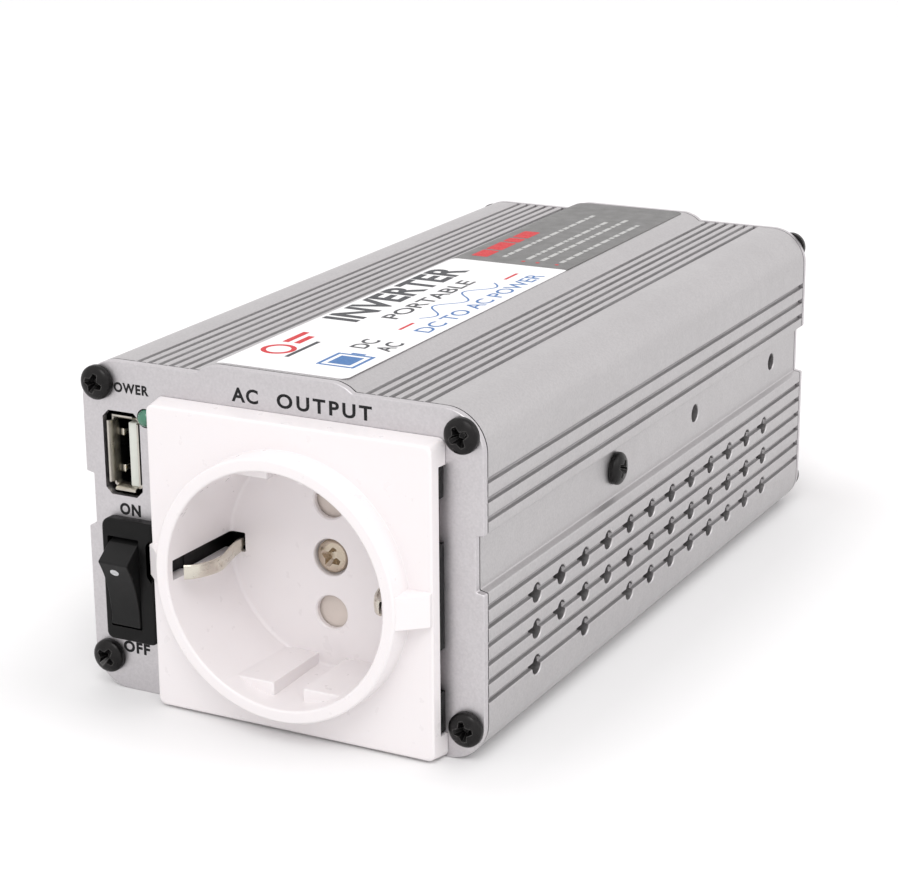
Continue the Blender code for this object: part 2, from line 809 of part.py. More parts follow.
def build_socket_base():
    front = PLATE_FRONT + PLATE_THICKNESS + GAP
    pocket = rod(CUP_RADIUS + GAP, socket_point(), front - MM, POCKET_FLOOR, "y", 40)
    contact_wells = [
        box(
            (SOCKET_X - CONTACT_WELL_HALF, POCKET_FLOOR - MM, SOCKET_Z + dz - CONTACT_WELL_HALF),
            (SOCKET_X + CONTACT_WELL_HALF, WELL_END, SOCKET_Z + dz + CONTACT_WELL_HALF),
        )
        for dz in (-PIN_OFFSET, PIN_OFFSET)
    ]
    half_x, half_z = CLIP_WELL_HALF
    clip_wells, towers = [], []
    for side in (-1, 1):
        root = SOCKET_X + side * CLIP_ROOT_RADIUS
        clip_wells.append(
            box(
                (root - half_x, POCKET_FLOOR - MM, SOCKET_Z - half_z),
                (root + half_x, WELL_END, SOCKET_Z + half_z),
            )
        )
        middle = SOCKET_X + side * TOWER_RADIUS
        towers.append(
            box(
                (middle - TOWER_HALF_THICKNESS, SLOT_FRONT + GAP, SOCKET_Z - TOWER_HALF_WIDTH),
                (middle + TOWER_HALF_THICKNESS, front + 0.8 * MM, SOCKET_Z + TOWER_HALF_WIDTH),
            )
        )
    screw_hole = rod(SCREW_BORE_RADIUS, socket_point(), POCKET_FLOOR - MM, WELL_END, "y", 12)
    shape(
        "socket_base",
        prism(base_flange_outline(), "y", front, FRONT - SEAT_GAP),
        black_plastic(),
        plus=[rod(BASE_RADIUS, socket_point(), FRONT - 0.5 * MM, BASE_BACK, "y", 40), *towers],
        minus=[pocket, joined(*contact_wells, *clip_wells, screw_hole)],
    )


def build_socket_screw():
    screw = pan_screw("socket_centre_screw", SOCKET_SCREW, nickel())
    screw.location = socket_point()
    screw.location.y = SCREW_SEAT - SEAT_GAP


def build_shutter():
    """A disc with two holes that line up with the pin holes when it has turned."""
    tilt = SHUTTER_TRAVEL
    holes = [
        rod(
            3.1 * MM,
            socket_point(-side * PIN_OFFSET * math.sin(tilt), side * PIN_OFFSET * math.cos(tilt)),
            SHUTTER_FRONT - MM,
            SHUTTER_FRONT + SHUTTER_THICKNESS + MM,
            "y",
            14,
        )
        for side in (-1, 1)
    ]
    disc = tube(
        4.2 * MM,
        SHUTTER_RADIUS,
        socket_point(),
        SHUTTER_FRONT,
        SHUTTER_FRONT + SHUTTER_THICKNESS,
        "y",
        28,
    )
    finish = material("shutter_grey", (0.5, 0.47, 0.44), 0.45)
    shutter = shape("socket_shutter", disc, finish, minus=[joined(*holes)])
    set_origin(shutter, (SOCKET_X, SHUTTER_FRONT, SOCKET_Z))


def clip_path(side):
    """The earth clip's centre line in plan, from its root behind the floor to its curled tip."""
    stations = [
        (17.4, 22.5),
        (17.4, 10.5),
        (16.3, 4.0),
        (15.4, 1.0),
        (15.3, -1.0),
        (16.1, -3.8),
        (17.2, -5.6),
        (18.4, -6.4),
    ]
    return [(SOCKET_X + side * radius * MM, FRONT + y * MM) for radius, y in stations]


def build_earth_clips():
    for name, side in (("left", -1), ("right", 1)):
        outline = strip_outline(clip_path(side), CLIP_THICKNESS)
        low, high = CLIP_Z - CLIP_WIDTH / 2, CLIP_Z + CLIP_WIDTH / 2
        clip = shape(f"earth_clip_{name}", prism(outline, "z", low, high), nickel())
        root_y = FRONT + 20.0 * MM
        set_origin(clip, (SOCKET_X + side * CLIP_ROOT_RADIUS, root_y, SOCKET_Z))


def build_contacts():
    """Square brass sleeves that grip the plug's pins."""
    for name, dz in (("live", PIN_OFFSET), ("neutral", -PIN_OFFSET)):
        start, end = POCKET_FLOOR + GAP, WELL_END - GAP
        sleeve = box(
            (SOCKET_X - CONTACT_HALF, start, SOCKET_Z + dz - CONTACT_HALF),
            (SOCKET_X + CONTACT_HALF, end, SOCKET_Z + dz + CONTACT_HALF),
        )
        bore = rod(CONTACT_BORE_RADIUS, socket_point(0, dz), start - MM, end + MM, "y", 12)
        shape(f"socket_contact_{name}", sleeve, brass(), minus=[bore])


# ---------------------------------------------------------------- switch


def bezel_outline():
    """A rectangle with cut corners and a shallow finger notch in its right edge."""
    left, right = SWITCH_X - BEZEL_HALF_WIDTH, SWITCH_X + BEZEL_HALF_WIDTH
    bottom, top = SWITCH_Z - BEZEL_HALF_HEIGHT, SWITCH_Z + BEZEL_HALF_HEIGHT
    corner, notch = 1.3 * MM, 0.9 * MM
    notch_bottom, notch_top = SWITCH_Z + 0.9 * MM, SWITCH_Z + 8.1 * MM
    return [
        (left + corner, bottom),
        (right - corner, bottom),
        (right, bottom + corner),
        (right, notch_bottom),
        (right - notch, notch_bottom + notch),
        (right - notch, notch_top - notch),
        (right, notch_top),
        (right, top - 0.5 * MM),
        (right - 0.5 * MM, top),
        (left + corner, top),
        (left, top - corner),
        (left, bottom + corner),
    ]


def build_switch_housing():
    bezel = prism(bezel_outline(), "y", BEZEL_FRONT, FRONT - SEAT_GAP)
    edges = [edge for edge in bezel.edges if all(v.co.y < BEZEL_FRONT + 1e-6 for v in edge.verts)]
    bmesh.ops.bevel(bezel, geom=edges, offset=0.5 * MM, segments=1, affect="EDGES")
    body = box(
        (SWITCH_BODY[0], FRONT - 0.6 * MM, SWITCH_Z - SWITCH_BODY_HALF_HEIGHT),
        (SWITCH_BODY[1], FRONT + 12.0 * MM, SWITCH_Z + SWITCH_BODY_HALF_HEIGHT),
    )
    window_half_width = ROCKER_HALF_WIDTH + 0.25 * MM
    window = box(
        (ROCKER_X - window_half_width, BEZEL_FRONT - MM, ROCKER_PIVOT_Z - WINDOW_HALF_HEIGHT),
        (ROCKER_X + window_half_width, FRONT + 8.0 * MM, ROCKER_PIVOT_Z + WINDOW_HALF_HEIGHT),
    )
    well = box(
        (ROCKER_X - window_half_width, FRONT - 0.8 * MM, ROCKER_PIVOT_Z - 9.0 * MM),
        (ROCKER_X + window_half_width, FRONT + 8.0 * MM, ROCKER_PIVOT_Z + 9.0 * MM),
    )
    shape("switch_housing", bezel, black_plastic(), plus=[body], minus=[window, well])


def rocker_outline():
    """Side view of the rocker at mid travel: (distance behind the pivot, height above it)."""
    front_end, end_height, dish = 6.57 * MM, 6.28 * MM, 0.95 * MM
    face = []
    for i in range(-4, 5):
        share = i / 4
        face.append((-(front_end - dish) - dish * share * share, end_height * share))
    top = [
        (-2.65 * MM, 7.97 * MM),
        (-0.2 * MM, 8.2 * MM),
        (0.6 * MM, 7.6 * MM),
        (0.6 * MM, 2.0 * MM),
        (2.3 * MM, 1.2 * MM),
    ]
    return face + top + [(y, -z) for y, z in reversed(top)]


def build_rocker():
    """The rocker rests tilted to OFF: its lower end pressed in, its upper end out."""
    turn = Matrix.Rotation(ROCKER_TILT, 2)
    outline = []
    for point in rocker_outline():
        y, z = turn @ Vector(point)
        outline.append((ROCKER_PIVOT_Y + y, ROCKER_PIVOT_Z + z))
    body = prism(outline, "x", ROCKER_X - ROCKER_HALF_WIDTH, ROCKER_X + ROCKER_HALF_WIDTH)
    rocker = shape("switch_rocker", body, material("rocker_black", (0.03, 0.033, 0.034), 0.35))
    set_origin(rocker, (ROCKER_X, ROCKER_PIVOT_Y, ROCKER_PIVOT_Z))


def build_switch_terminals():
    for index, dz in enumerate((-5.0 * MM, 5.0 * MM), start=1):
        lug = box(
            (SWITCH_X - 0.4 * MM, FRONT + 12.3 * MM, SWITCH_Z + dz - 2.4 * MM),
            (SWITCH_X + 0.4 * MM, FRONT + 20.0 * MM, SWITCH_Z + dz + 2.4 * MM),
        )
        hole = rod(0.8 * MM, (0, FRONT + 17.0 * MM, SWITCH_Z + dz), -40 * MM, 0, "x", 8)
        shape(f"switch_terminal_{index}", lug, brass(), minus=[hole])


# ---------------------------------------------------------------- USB outlet and light


def build_usb():
    front, back = FRONT + 0.4 * MM, FRONT + 14.4 * MM
    half_x, half_z = USB_SHELL_HALF
    wall = 0.5 * MM
    shell = prism(
        rectangle(USB_X - half_x, USB_Z - half_z, USB_X + half_x, USB_Z + half_z, 0.5 * MM),
        "y",
        front,
        back,
    )
    hollow = box(
        (USB_X - half_x + wall, front - MM, USB_Z - half_z + wall),
        (USB_X + half_x - wall, back - 0.8 * MM, USB_Z + half_z - wall),
    )
    shape("usb_shell", shell, nickel(), minus=[hollow])
    tongue_x, tongue_z = USB_X + 1.45 * MM, USB_Z - 0.3 * MM
    half_x, half_z = USB_TONGUE_HALF
    tongue = box(
        (tongue_x - half_x, front + 0.8 * MM, tongue_z - half_z),
        (tongue_x + half_x, back - 1.1 * MM, tongue_z + half_z),
    )
    shape("usb_tongue", tongue, white_plastic())
    board = box(
        (USB_X + 3.5 * MM, FRONT + 2.8 * MM, USB_Z - 9.0 * MM),
        (USB_X + 4.6 * MM, FRONT + 20.0 * MM, USB_Z + 8.3 * MM),
    )
    shape("usb_board", board, board_green())


def build_led():
    radius, rim = LED_RADIUS, 1.6 * MM
    profile = [
        (0, FRONT - 1.1 * MM),
        (radius * 0.6, FRONT - 0.85 * MM),
        (radius * 0.92, FRONT - 0.3 * MM),
        (radius, FRONT + 0.3 * MM),
        (radius, FRONT + 1.5 * MM),
        (rim, FRONT + 1.5 * MM),
        (rim, FRONT + 2.5 * MM),
        (0, FRONT + 2.5 * MM),
    ]
    finish = material("led_green", (0.1, 0.45, 0.3), 0.15)
    shape("power_led", turned(profile, (LED_X, 0, LED_Z), "y", 14), finish)


def build_label():
    """The label is stuck on a little askew."""
    half_length = CASE_END - 0.6 * MM
    label = shape(
        "top_label",
        box((-LABEL_HALF_WIDTH, -half_length, 0), (LABEL_HALF_WIDTH, half_length, LABEL_THICKNESS)),
        material("label_film", (0.85, 0.85, 0.85), 0.4),
    )
    label.rotation_euler = (0, 0, LABEL_SKEW)
    label.location = (LABEL_X, 0, PLATEAU_HEIGHT + SEAT_GAP)


# ---------------------------------------------------------------- circuit board


def build_main_board():
    board = box(
        (-BOARD_HALF_WIDTH, FRONT + 29.0 * MM, BOARD_BOTTOM),
        (BOARD_HALF_WIDTH, REAR - 13.0 * MM, BOARD_TOP),
    )
    shape("main_board", board, board_green())


def build_transformer():
    """An E-core with the winding in its two windows."""
    y, z = 8.0 * MM, MOUNTED + 17.0 * MM
    core_half = (21.0 * MM, 7.5 * MM, 17.0 * MM)
    core = box(
        (-core_half[0], y - core_half[1], MOUNTED), (core_half[0], y + core_half[1], z + core_half[2])
    )
    windows = [
        box((x - 3.75 * MM, y - 10 * MM, z - 11 * MM), (x + 3.75 * MM, y + 10 * MM, z + 11 * MM))
        for x in (-9.75 * MM, 9.75 * MM)
    ]
    ferrite = material("ferrite", (0.05, 0.05, 0.055), 0.6)
    shape("transformer_core", core, ferrite, minus=[joined(*windows)])
    coil = box((-13.2 * MM, y - 14.0 * MM, z - 10.6 * MM), (13.2 * MM, y + 14.0 * MM, z + 10.6 * MM))
    leg = box((-6.3 * MM, y - 7.8 * MM, z - 12 * MM), (6.3 * MM, y + 7.8 * MM, z + 12 * MM))
    tape = material("winding_tape", (0.75, 0.6, 0.1), 0.5)
    shape("transformer_winding", coil, tape, minus=[leg])


def capacitor(name, x, y, radius, height, finish):
    """An electrolytic can with a rolled groove near its base."""
    base, top = MOUNTED, MOUNTED + height
    profile = [
        (0, base),
        (radius - 0.4 * MM, base),
        (radius, base + 0.8 * MM),
        (radius, base + 2.0 * MM),
        (radius - 0.6 * MM, base + 2.6 * MM),
        (radius, base + 3.2 * MM),
        (radius, top - 0.5 * MM),
        (radius - 0.6 * MM, top),
        (0, top),
    ]
    shape(name, turned(profile, (x, y, 0), "z", 14), finish)


def build_capacitors():
    sleeve = material("capacitor_sleeve", (0.02, 0.03, 0.09), 0.35)
    capacitor("input_capacitor_1", -2.0 * MM, 38.0 * MM, 6.5 * MM, 25.0 * MM, sleeve)
    capacitor("input_capacitor_2", 13.0 * MM, 38.0 * MM, 6.5 * MM, 25.0 * MM, sleeve)
    capacitor("bus_capacitor", -20.0 * MM, -25.0 * MM, 9.0 * MM, 30.0 * MM, sleeve)


def build_choke():
    """A wound toroid lying on the board."""
    ring, minor = 8.0 * MM, 3.8 * MM
    profile = [
        (ring + minor * math.cos(a), minor * math.sin(a))
        for a in (math.tau * i / 8 for i in range(8))
    ]
    copper = material("copper_wire", (0.72, 0.3, 0.12), 0.35, 1.0)
    centre = (12.0 * MM, -24.0 * MM, MOUNTED + minor)
    shape("output_choke", turned(profile, centre, "z", 16), copper)


def build_fuse():
    x, y = -20.0 * MM, 48.0 * MM
    bottom, top = MOUNTED + 5.0 * MM, MOUNTED + 13.0 * MM
    body = box((x - 9.5 * MM, y - 2.5 * MM, bottom), (x + 9.5 * MM, y + 2.5 * MM, top))
    blades = [
        box((blade - 2.5 * MM, y - 0.4 * MM, MOUNTED), (blade + 2.5 * MM, y + 0.4 * MM, bottom + MM))
        for blade in (x - 6.0 * MM, x + 6.0 * MM)
    ]
    shape("blade_fuse", body, material("fuse_amber", (0.75, 0.35, 0.03), 0.3), plus=blades)


def build_chip():
    outline = [
        (-29.0 * MM, MOUNTED + 1.8 * MM),
        (-28.6 * MM, MOUNTED),
        (-23.4 * MM, MOUNTED),
        (-23.0 * MM, MOUNTED + 1.8 * MM),
        (-23.4 * MM, MOUNTED + 3.4 * MM),
        (-28.6 * MM, MOUNTED + 3.4 * MM),
    ]
    shape("control_chip", prism(outline, "y", 15.0 * MM, 35.0 * MM), black_plastic())


def build_transistors():
    """Four power transistors held against the right wall by one screw and a bar."""
    centre_y = CLAMP_HOLES[0]
    outer = 32.6 * MM
    offsets = (-18.2 * MM, -7.2 * MM, 7.2 * MM, 18.2 * MM)
    y = centre_y + offsets[0]
    body = box((outer - 4.5 * MM, y - 5.0 * MM, 20.5 * MM), (outer, y + 5.0 * MM, 36.5 * MM))
    leads = [
        box(
            (outer - 4.1 * MM, y + dy - 0.4 * MM, MOUNTED),
            (outer - 3.5 * MM, y + dy + 0.4 * MM, 21.0 * MM),
        )
        for dy in (-2.5 * MM, 0.0, 2.5 * MM)
    ]
    first = shape("power_transistor_1", body, black_plastic(), plus=leads)
    for index, offset in enumerate(offsets[1:], start=2):
        copy_of(first, f"power_transistor_{index}", (0, offset - offsets[0], 0))
    pad = box((32.9 * MM, centre_y - 24.5 * MM, 28.2 * MM), (33.4 * MM, centre_y + 24.5 * MM, 37.5 * MM))
    hole = rod(1.7 * MM, (0, centre_y, CLAMP_HOLE_HEIGHT), 20 * MM, 36 * MM, "x", 12)
    shape("insulating_pad", pad, material("silicone_pad", (0.45, 0.5, 0.55), 0.8), minus=[hole])
    bar = box((25.2 * MM, centre_y - 24.0 * MM, 30.5 * MM), (27.8 * MM, centre_y + 24.0 * MM, 36.5 * MM))
    thread = rod(1.65 * MM, (0, centre_y, CLAMP_HOLE_HEIGHT), 20 * MM, 36 * MM, "x", 12)
    shape("clamp_bar", bar, satin_aluminium(), minus=[thread])


def build_wires():
    red = material("cable_red", (0.6, 0.02, 0.02), 0.45)
    black = material("cable_black", (0.02, 0.02, 0.02), 0.45)
    brown = material("cable_brown", (0.2, 0.08, 0.03), 0.45)
    blue = material("cable_blue", (0.02, 0.08, 0.4), 0.45)
    cable, thin = 1.8 * MM, 0.9 * MM
    stud_end = REAR - 14.3 * MM
    start_z = TERMINAL_Z["red"]
    path = [
        (TERMINAL_X, stud_end, start_z),
        (TERMINAL_X, 54.0 * MM, start_z - 3.0 * MM),
        (TERMINAL_X - 1.0 * MM, 49.5 * MM, 26.0 * MM),
        (TERMINAL_X - 1.5 * MM, 49.5 * MM, MOUNTED + 0.5 * MM),
    ]
    wire("dc_cable_red", path, cable, red)
    start_z = TERMINAL_Z["black"]
    path = [
        (TERMINAL_X, stud_end, start_z),
        (TERMINAL_X + 3.5 * MM, 53.5 * MM, start_z - 2.0 * MM),
        (TERMINAL_X + 5.0 * MM, 51.0 * MM, MOUNTED + 0.6 * MM),
    ]
    wire("dc_cable_black", path, cable, black)
    start_y = BASE_BACK + thin + GAP
    path = [
        (SOCKET_X, start_y, SOCKET_Z + PIN_OFFSET),
        (SOCKET_X - 3.0 * MM, start_y + 3.5 * MM, 28.0 * MM),
        (SOCKET_X - 5.0 * MM, start_y + 5.0 * MM, MOUNTED + 0.2 * MM),
    ]
    wire("ac_wire_live", path, thin, brown)
    path = [
        (SOCKET_X + 2.0 * MM, start_y, SOCKET_Z - PIN_OFFSET),
        (SOCKET_X + 3.5 * MM, start_y + 3.5 * MM, 14.0 * MM),
        (SOCKET_X + 4.0 * MM, start_y + 5.0 * MM, MOUNTED + 0.2 * MM),
    ]
    wire("ac_wire_neutral", path, thin, blue)


# ---------------------------------------------------------------- fan


def fan_screw_places():
    offset = FAN_HOLE_OFFSET
    return [(FAN_X - offset, FAN_Z + offset), (FAN_X + offset, FAN_Z - offset)]


def build_fan_frame():
    half = FAN_SIZE / 2
    front = FAN_BACK - FAN_DEPTH
    outline = rectangle(FAN_X - half, FAN_Z - half, FAN_X + half, FAN_Z + half, 2.0 * MM)
    duct = rod(19.0 * MM, (FAN_X, 0, FAN_Z), front + 1.2 * MM, FAN_BACK + MM, "y", 32)
    strut_half = 1.3 * MM
    openings = []
    for quarter in range(4):
        inner, outer = 11.0 * MM, 18.4 * MM
        first = math.degrees(math.asin(strut_half / inner)) + 45
        last = math.degrees(math.asin(strut_half / outer)) + 45
        start = 90 * quarter
        edge = arc((FAN_X, FAN_Z), inner, start + first, start + 180 - first, 6)
        edge += arc((FAN_X, FAN_Z), outer, start + 180 - last, start + last, 8)
        openings.append(prism(edge, "y", front - MM, front + 2.0 * MM))
    holes = [
        rod(1.75 * MM, (FAN_X + dx, 0, FAN_Z + dz), front - MM, FAN_BACK + MM, "y", 10)
        for dx in (-FAN_HOLE_OFFSET, FAN_HOLE_OFFSET)
        for dz in (-FAN_HOLE_OFFSET, FAN_HOLE_OFFSET)
    ]
    shape(
        "fan_frame",
        prism(outline, "y", front, FAN_BACK),
        black_plastic(),
        minus=[duct, joined(*openings), joined(*holes)],
    )


def rotor_section(twist):
    """One cross-section of the fan rotor: a round hub with seven blades."""
    hub, tip, blades = 11.2 * MM, 18.3 * MM, 7
    points = []
    for blade in range(blades):
        middle = math.tau * blade / blades + twist
        for radius, offset in ((hub, -0.075), (tip, -0.035), (tip, 0.035), (hub, 0.075)):
            angle = middle + offset
            points.append((radius * math.cos(angle), radius * math.sin(angle)))
        for share in (0.25, 0.5, 0.75):
            gap_angle = math.tau / blades - 0.15
            angle = middle + 0.075 + share * gap_angle
            points.append((hub * math.cos(angle), hub * math.sin(angle)))
    return points


def build_fan_rotor():
    """The section is swept along the axis while it turns, which pitches the blades."""
    bm = bmesh.new()
    start, end = FAN_BACK - FAN_DEPTH + 1.6 * MM, FAN_BACK - 1.0 * MM
    steps = 3
    rings = []
    for step in range(steps + 1):
        share = step / steps
        y = start + (end - start) * share
        ring = [
            bm.verts.new((FAN_X + x, y, FAN_Z + z)) for x, z in rotor_section(share * math.radians(32))
        ]
        rings.append(ring)
    bm.faces.new(rings[0])
    bm.faces.new(rings[-1])
    count = len(rings[0])
    for near, far in zip(rings, rings[1:]):
        for i in range(count):
            j = (i + 1) % count
            bm.faces.new((near[i], near[j], far[j], far[i]))
    rotor = shape("fan_rotor", bm, black_plastic())
    set_origin(rotor, (FAN_X, (start + end) / 2, FAN_Z))


def build_fan_screws():
    first = pan_screw("fan_screw_1", FAN_SCREW, black_steel())
    second = copy_of(first, "fan_screw_2", (0, 0, 0))
    for screw, (x, z) in zip((first, second), fan_screw_places()):
        screw.rotation_euler = (0, 0, math.pi)
        screw.location = (x, REAR + SEAT_GAP, z)


# ---------------------------------------------------------------- DC terminals


def build_terminal(colour, finish):
    """Bush, stud, washer and knob of one binding post."""
    centre = (TERMINAL_X, 0, TERMINAL_Z[colour])
    bush_end = REAR + SEAT_GAP + 3.0 * MM
    bush = [
        (STUD_BORE_RADIUS, REAR - 2.5 * MM),
        (4.05 * MM, REAR - 2.5 * MM),
        (4.05 * MM, REAR + SEAT_GAP),
        (7.0 * MM, REAR + SEAT_GAP),
        (7.0 * MM, bush_end - 0.5 * MM),
        (6.5 * MM, bush_end),
        (STUD_BORE_RADIUS, bush_end),
    ]
    shape(f"terminal_bush_{colour}", turned(bush, centre, "y", 16), finish)
    nut_start, nut_end = REAR - 6.5 * MM, REAR - 2.8 * MM
    tip = bush_end + 12.2 * MM
    stud = [
        (0, REAR - 13.0 * MM),
        (STUD_RADIUS, REAR - 13.0 * MM),
        (STUD_RADIUS, nut_start),
        (5.0 * MM, nut_start),
        (5.0 * MM, nut_end),
        (STUD_RADIUS, nut_end),
        (STUD_RADIUS, tip - 0.5 * MM),
        (2.0 * MM, tip),
        (0, tip),
    ]
    shape(f"terminal_stud_{colour}", turned(stud, centre, "y", 12), brass())
    washer_start = bush_end + GAP
    washer_end = washer_start + 1.0 * MM
    ring = tube(STUD_BORE_RADIUS, 5.5 * MM, centre, washer_start, washer_end, "y", 16)
    washer = shape(f"terminal_washer_{colour}", ring, nickel())
    set_origin(washer, (centre[0], washer_start, centre[2]))
    knob_start = washer_end + GAP
    knob_end = knob_start + KNOB_LENGTH
    grip = [
        (STUD_BORE_RADIUS, knob_start),
        (5.2 * MM, knob_start),
        (KNOB_RADIUS, knob_start + 1.2 * MM),
        (KNOB_RADIUS, knob_end - 0.9 * MM),
        (5.6 * MM, knob_end),
        (0, knob_end),
        (0, knob_end - 1.8 * MM),
        (STUD_BORE_RADIUS, knob_end - 1.8 * MM),
    ]
    knob = shape(f"terminal_knob_{colour}", turned(grip, centre, "y", 16), finish)
    set_origin(knob, (centre[0], knob_start, centre[2]))


def main():
    clear_scene()
    build_case()
    build_front_panel()
    build_rear_panel()
    build_panel_screws()
    build_clamp_screw()
    build_socket_cover()
    build_socket_base()
    build_socket_screw()
    build_shutter()
    build_earth_clips()
    build_contacts()
    build_switch_housing()
    build_rocker()
    build_switch_terminals()
    build_usb()
    build_led()
    build_label()
    build_main_board()
    build_transformer()
    build_capacitors()
    build_choke()
    build_fuse()
    build_chip()
    build_transistors()
    build_wires()
    build_fan_frame()
    build_fan_rotor()
    build_fan_screws()
    build_terminal("red", material("terminal_red", (0.55, 0.01, 0.01), 0.35))
    build_terminal("black", black_plastic())


main()
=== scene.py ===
"""Looks of a small power inverter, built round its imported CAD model.

Units are metres in the CAD frame: the front panel faces -Y, the rear panel +Y, and Z is up.
Each visible CAD solid is replaced by a finer mesh in the same place or given a procedural
material. The bodies, the joints and the size stay those of the CAD model.
"""

import math

import bmesh
import bpy
from mathutils import Matrix, Vector


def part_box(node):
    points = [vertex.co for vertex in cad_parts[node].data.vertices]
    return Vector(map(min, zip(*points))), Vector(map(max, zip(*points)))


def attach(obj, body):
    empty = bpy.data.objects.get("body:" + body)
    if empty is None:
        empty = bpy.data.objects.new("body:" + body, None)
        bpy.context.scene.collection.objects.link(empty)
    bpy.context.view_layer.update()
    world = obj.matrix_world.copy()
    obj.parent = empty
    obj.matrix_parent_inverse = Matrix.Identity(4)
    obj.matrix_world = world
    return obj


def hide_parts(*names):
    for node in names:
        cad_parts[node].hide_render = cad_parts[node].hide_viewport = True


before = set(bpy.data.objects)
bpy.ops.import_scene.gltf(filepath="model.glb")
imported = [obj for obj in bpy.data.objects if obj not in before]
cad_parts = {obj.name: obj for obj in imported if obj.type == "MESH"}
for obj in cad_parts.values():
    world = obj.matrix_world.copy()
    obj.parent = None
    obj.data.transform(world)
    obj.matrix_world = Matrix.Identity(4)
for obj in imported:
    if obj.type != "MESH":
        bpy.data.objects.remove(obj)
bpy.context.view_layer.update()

MM = 0.001
MAIN_BODY = "inverter_body"
ROUNDING_ERROR = 0.008 * MM
INK_THICKNESS = 0.03 * MM

# Places that the CAD model fixes.
HALF_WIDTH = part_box("case_extrusion")[1].x
PLATEAU_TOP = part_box("case_extrusion")[1].z
CASE_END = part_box("case_extrusion")[1].y
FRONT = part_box("front_panel")[0].y
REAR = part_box("rear_panel")[1].y
PANEL_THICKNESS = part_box("front_panel")[1].y - FRONT
RING_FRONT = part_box("socket_cover")[0].y
SOCKET = (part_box("socket_shutter")[0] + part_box("socket_shutter")[1]) / 2
PLATE = (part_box("socket_cover")[0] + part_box("socket_cover")[1]) / 2
PLATE_BACK_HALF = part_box("socket_cover")[1].x - PLATE.x
PLATE_HALF = PLATE_BACK_HALF - 0.4 * MM
BEZEL_LOW, BEZEL_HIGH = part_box("switch_housing")
SHELL_LOW, SHELL_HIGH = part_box("usb_shell")
LED = (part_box("power_led")[0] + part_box("power_led")[1]) / 2
FAN_LOW, FAN_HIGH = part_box("fan_frame")
FAN = (FAN_LOW + FAN_HIGH) / 2

# Case profile, as in the CAD model.
SIDE_TOP = PLATEAU_TOP - 1.5 * MM
GROOVE_HALF = 0.5 * MM
GROOVE_DEPTH = 0.9 * MM
GROOVE_PITCH = 3.16 * MM
LOW_GROOVES = [10.4 * MM + GROOVE_PITCH * i for i in range(6)]
HIGH_GROOVES = [40.7 * MM + GROOVE_PITCH * i for i in range(3)]
SIDE_GROOVES = LOW_GROOVES + HIGH_GROOVES
TOP_GROOVES = [(26.9 - 2.1 * i) * MM for i in range(6)]
CHANNEL = (28.7 * MM, 38.4 * MM)
CHANNEL_DEPTH = 1.45 * MM
VENT_ROWS = (22.75 * MM, 16.45 * MM, 10.15 * MM)
FIRST_VENT = -53.5 * MM
VENT_PITCH = 9.48 * MM
VENT_RADIUS = 1.7 * MM
CLAMP_HOLES = (-19.6 * MM, 17.3 * MM, 57.7 * MM)
CLAMP_HEIGHT = 34.05 * MM

# Socket.
PLATE_FRONT = FRONT - 4.0 * MM
PLATE_BACK = PLATE_FRONT + 2.0 * MM
RING_RADIUS = 22.2 * MM
MOUTH_RADIUS = 20.0 * MM
CUP_FLOOR = RING_FRONT + 18.4 * MM
PIN_OFFSET = 9.7 * MM
PIN_HOLE = 2.9 * MM
BOSS_END = CUP_FLOOR + 3.8 * MM
SCREW_SEAT = BOSS_END - 2.2 * MM

# Switch and USB outlet.
ROCKER_TILT = math.radians(14)
ROCKER_AXIS = (FRONT + 2.5 * MM, 20.2 * MM)
WINDOW_HALF_HEIGHT = 8.1 * MM
WELL_HALF_HEIGHT = 9.0 * MM
USB_OPENING = (3.7 * MM, 7.35 * MM)
USB_TUBE = (2.75 * MM, 6.1 * MM)

# Label. It is stuck on slightly askew.
LABEL_SKEW = math.radians(0.36)
LABEL_X = -0.7 * MM
LABEL_HALF_WIDTH = 12.3 * MM
LABEL_DARK_START = 12.5 * MM

# Rear end.
GRILLE_RINGS = (5.6 * MM, 10.2 * MM, 14.8 * MM)
GRILLE_SLOT_WIDTH = 3.2 * MM
FAN_SCREW_OFFSET = 16 * MM
TERMINALS = {"red": 40.5 * MM, "black": 18.0 * MM}
TERMINAL_X = 21.5 * MM
TERMINAL_BORE = 2.85 * MM
THREAD_ROOT, THREAD_CREST, THREAD_PITCH = 2.25 * MM, 2.5 * MM, 0.45 * MM

# Screws: head radius, head height, shank radius and length.
PANEL_SCREW = (2.95 * MM, 1.9 * MM, 1.15 * MM, 9.0 * MM)
FAN_SCREW = (2.8 * MM, 1.8 * MM, 1.35 * MM, 9.5 * MM)
CLAMP_SCREW = (2.9 * MM, 1.8 * MM, 1.35 * MM, 12.5 * MM)
SOCKET_SCREW = (2.9 * MM, 1.6 * MM, 1.4 * MM, 9.0 * MM)
SEAT_GAP = 0.1 * MM
HOLE_RADIUS = 1.7 * MM


# ---- mesh helpers


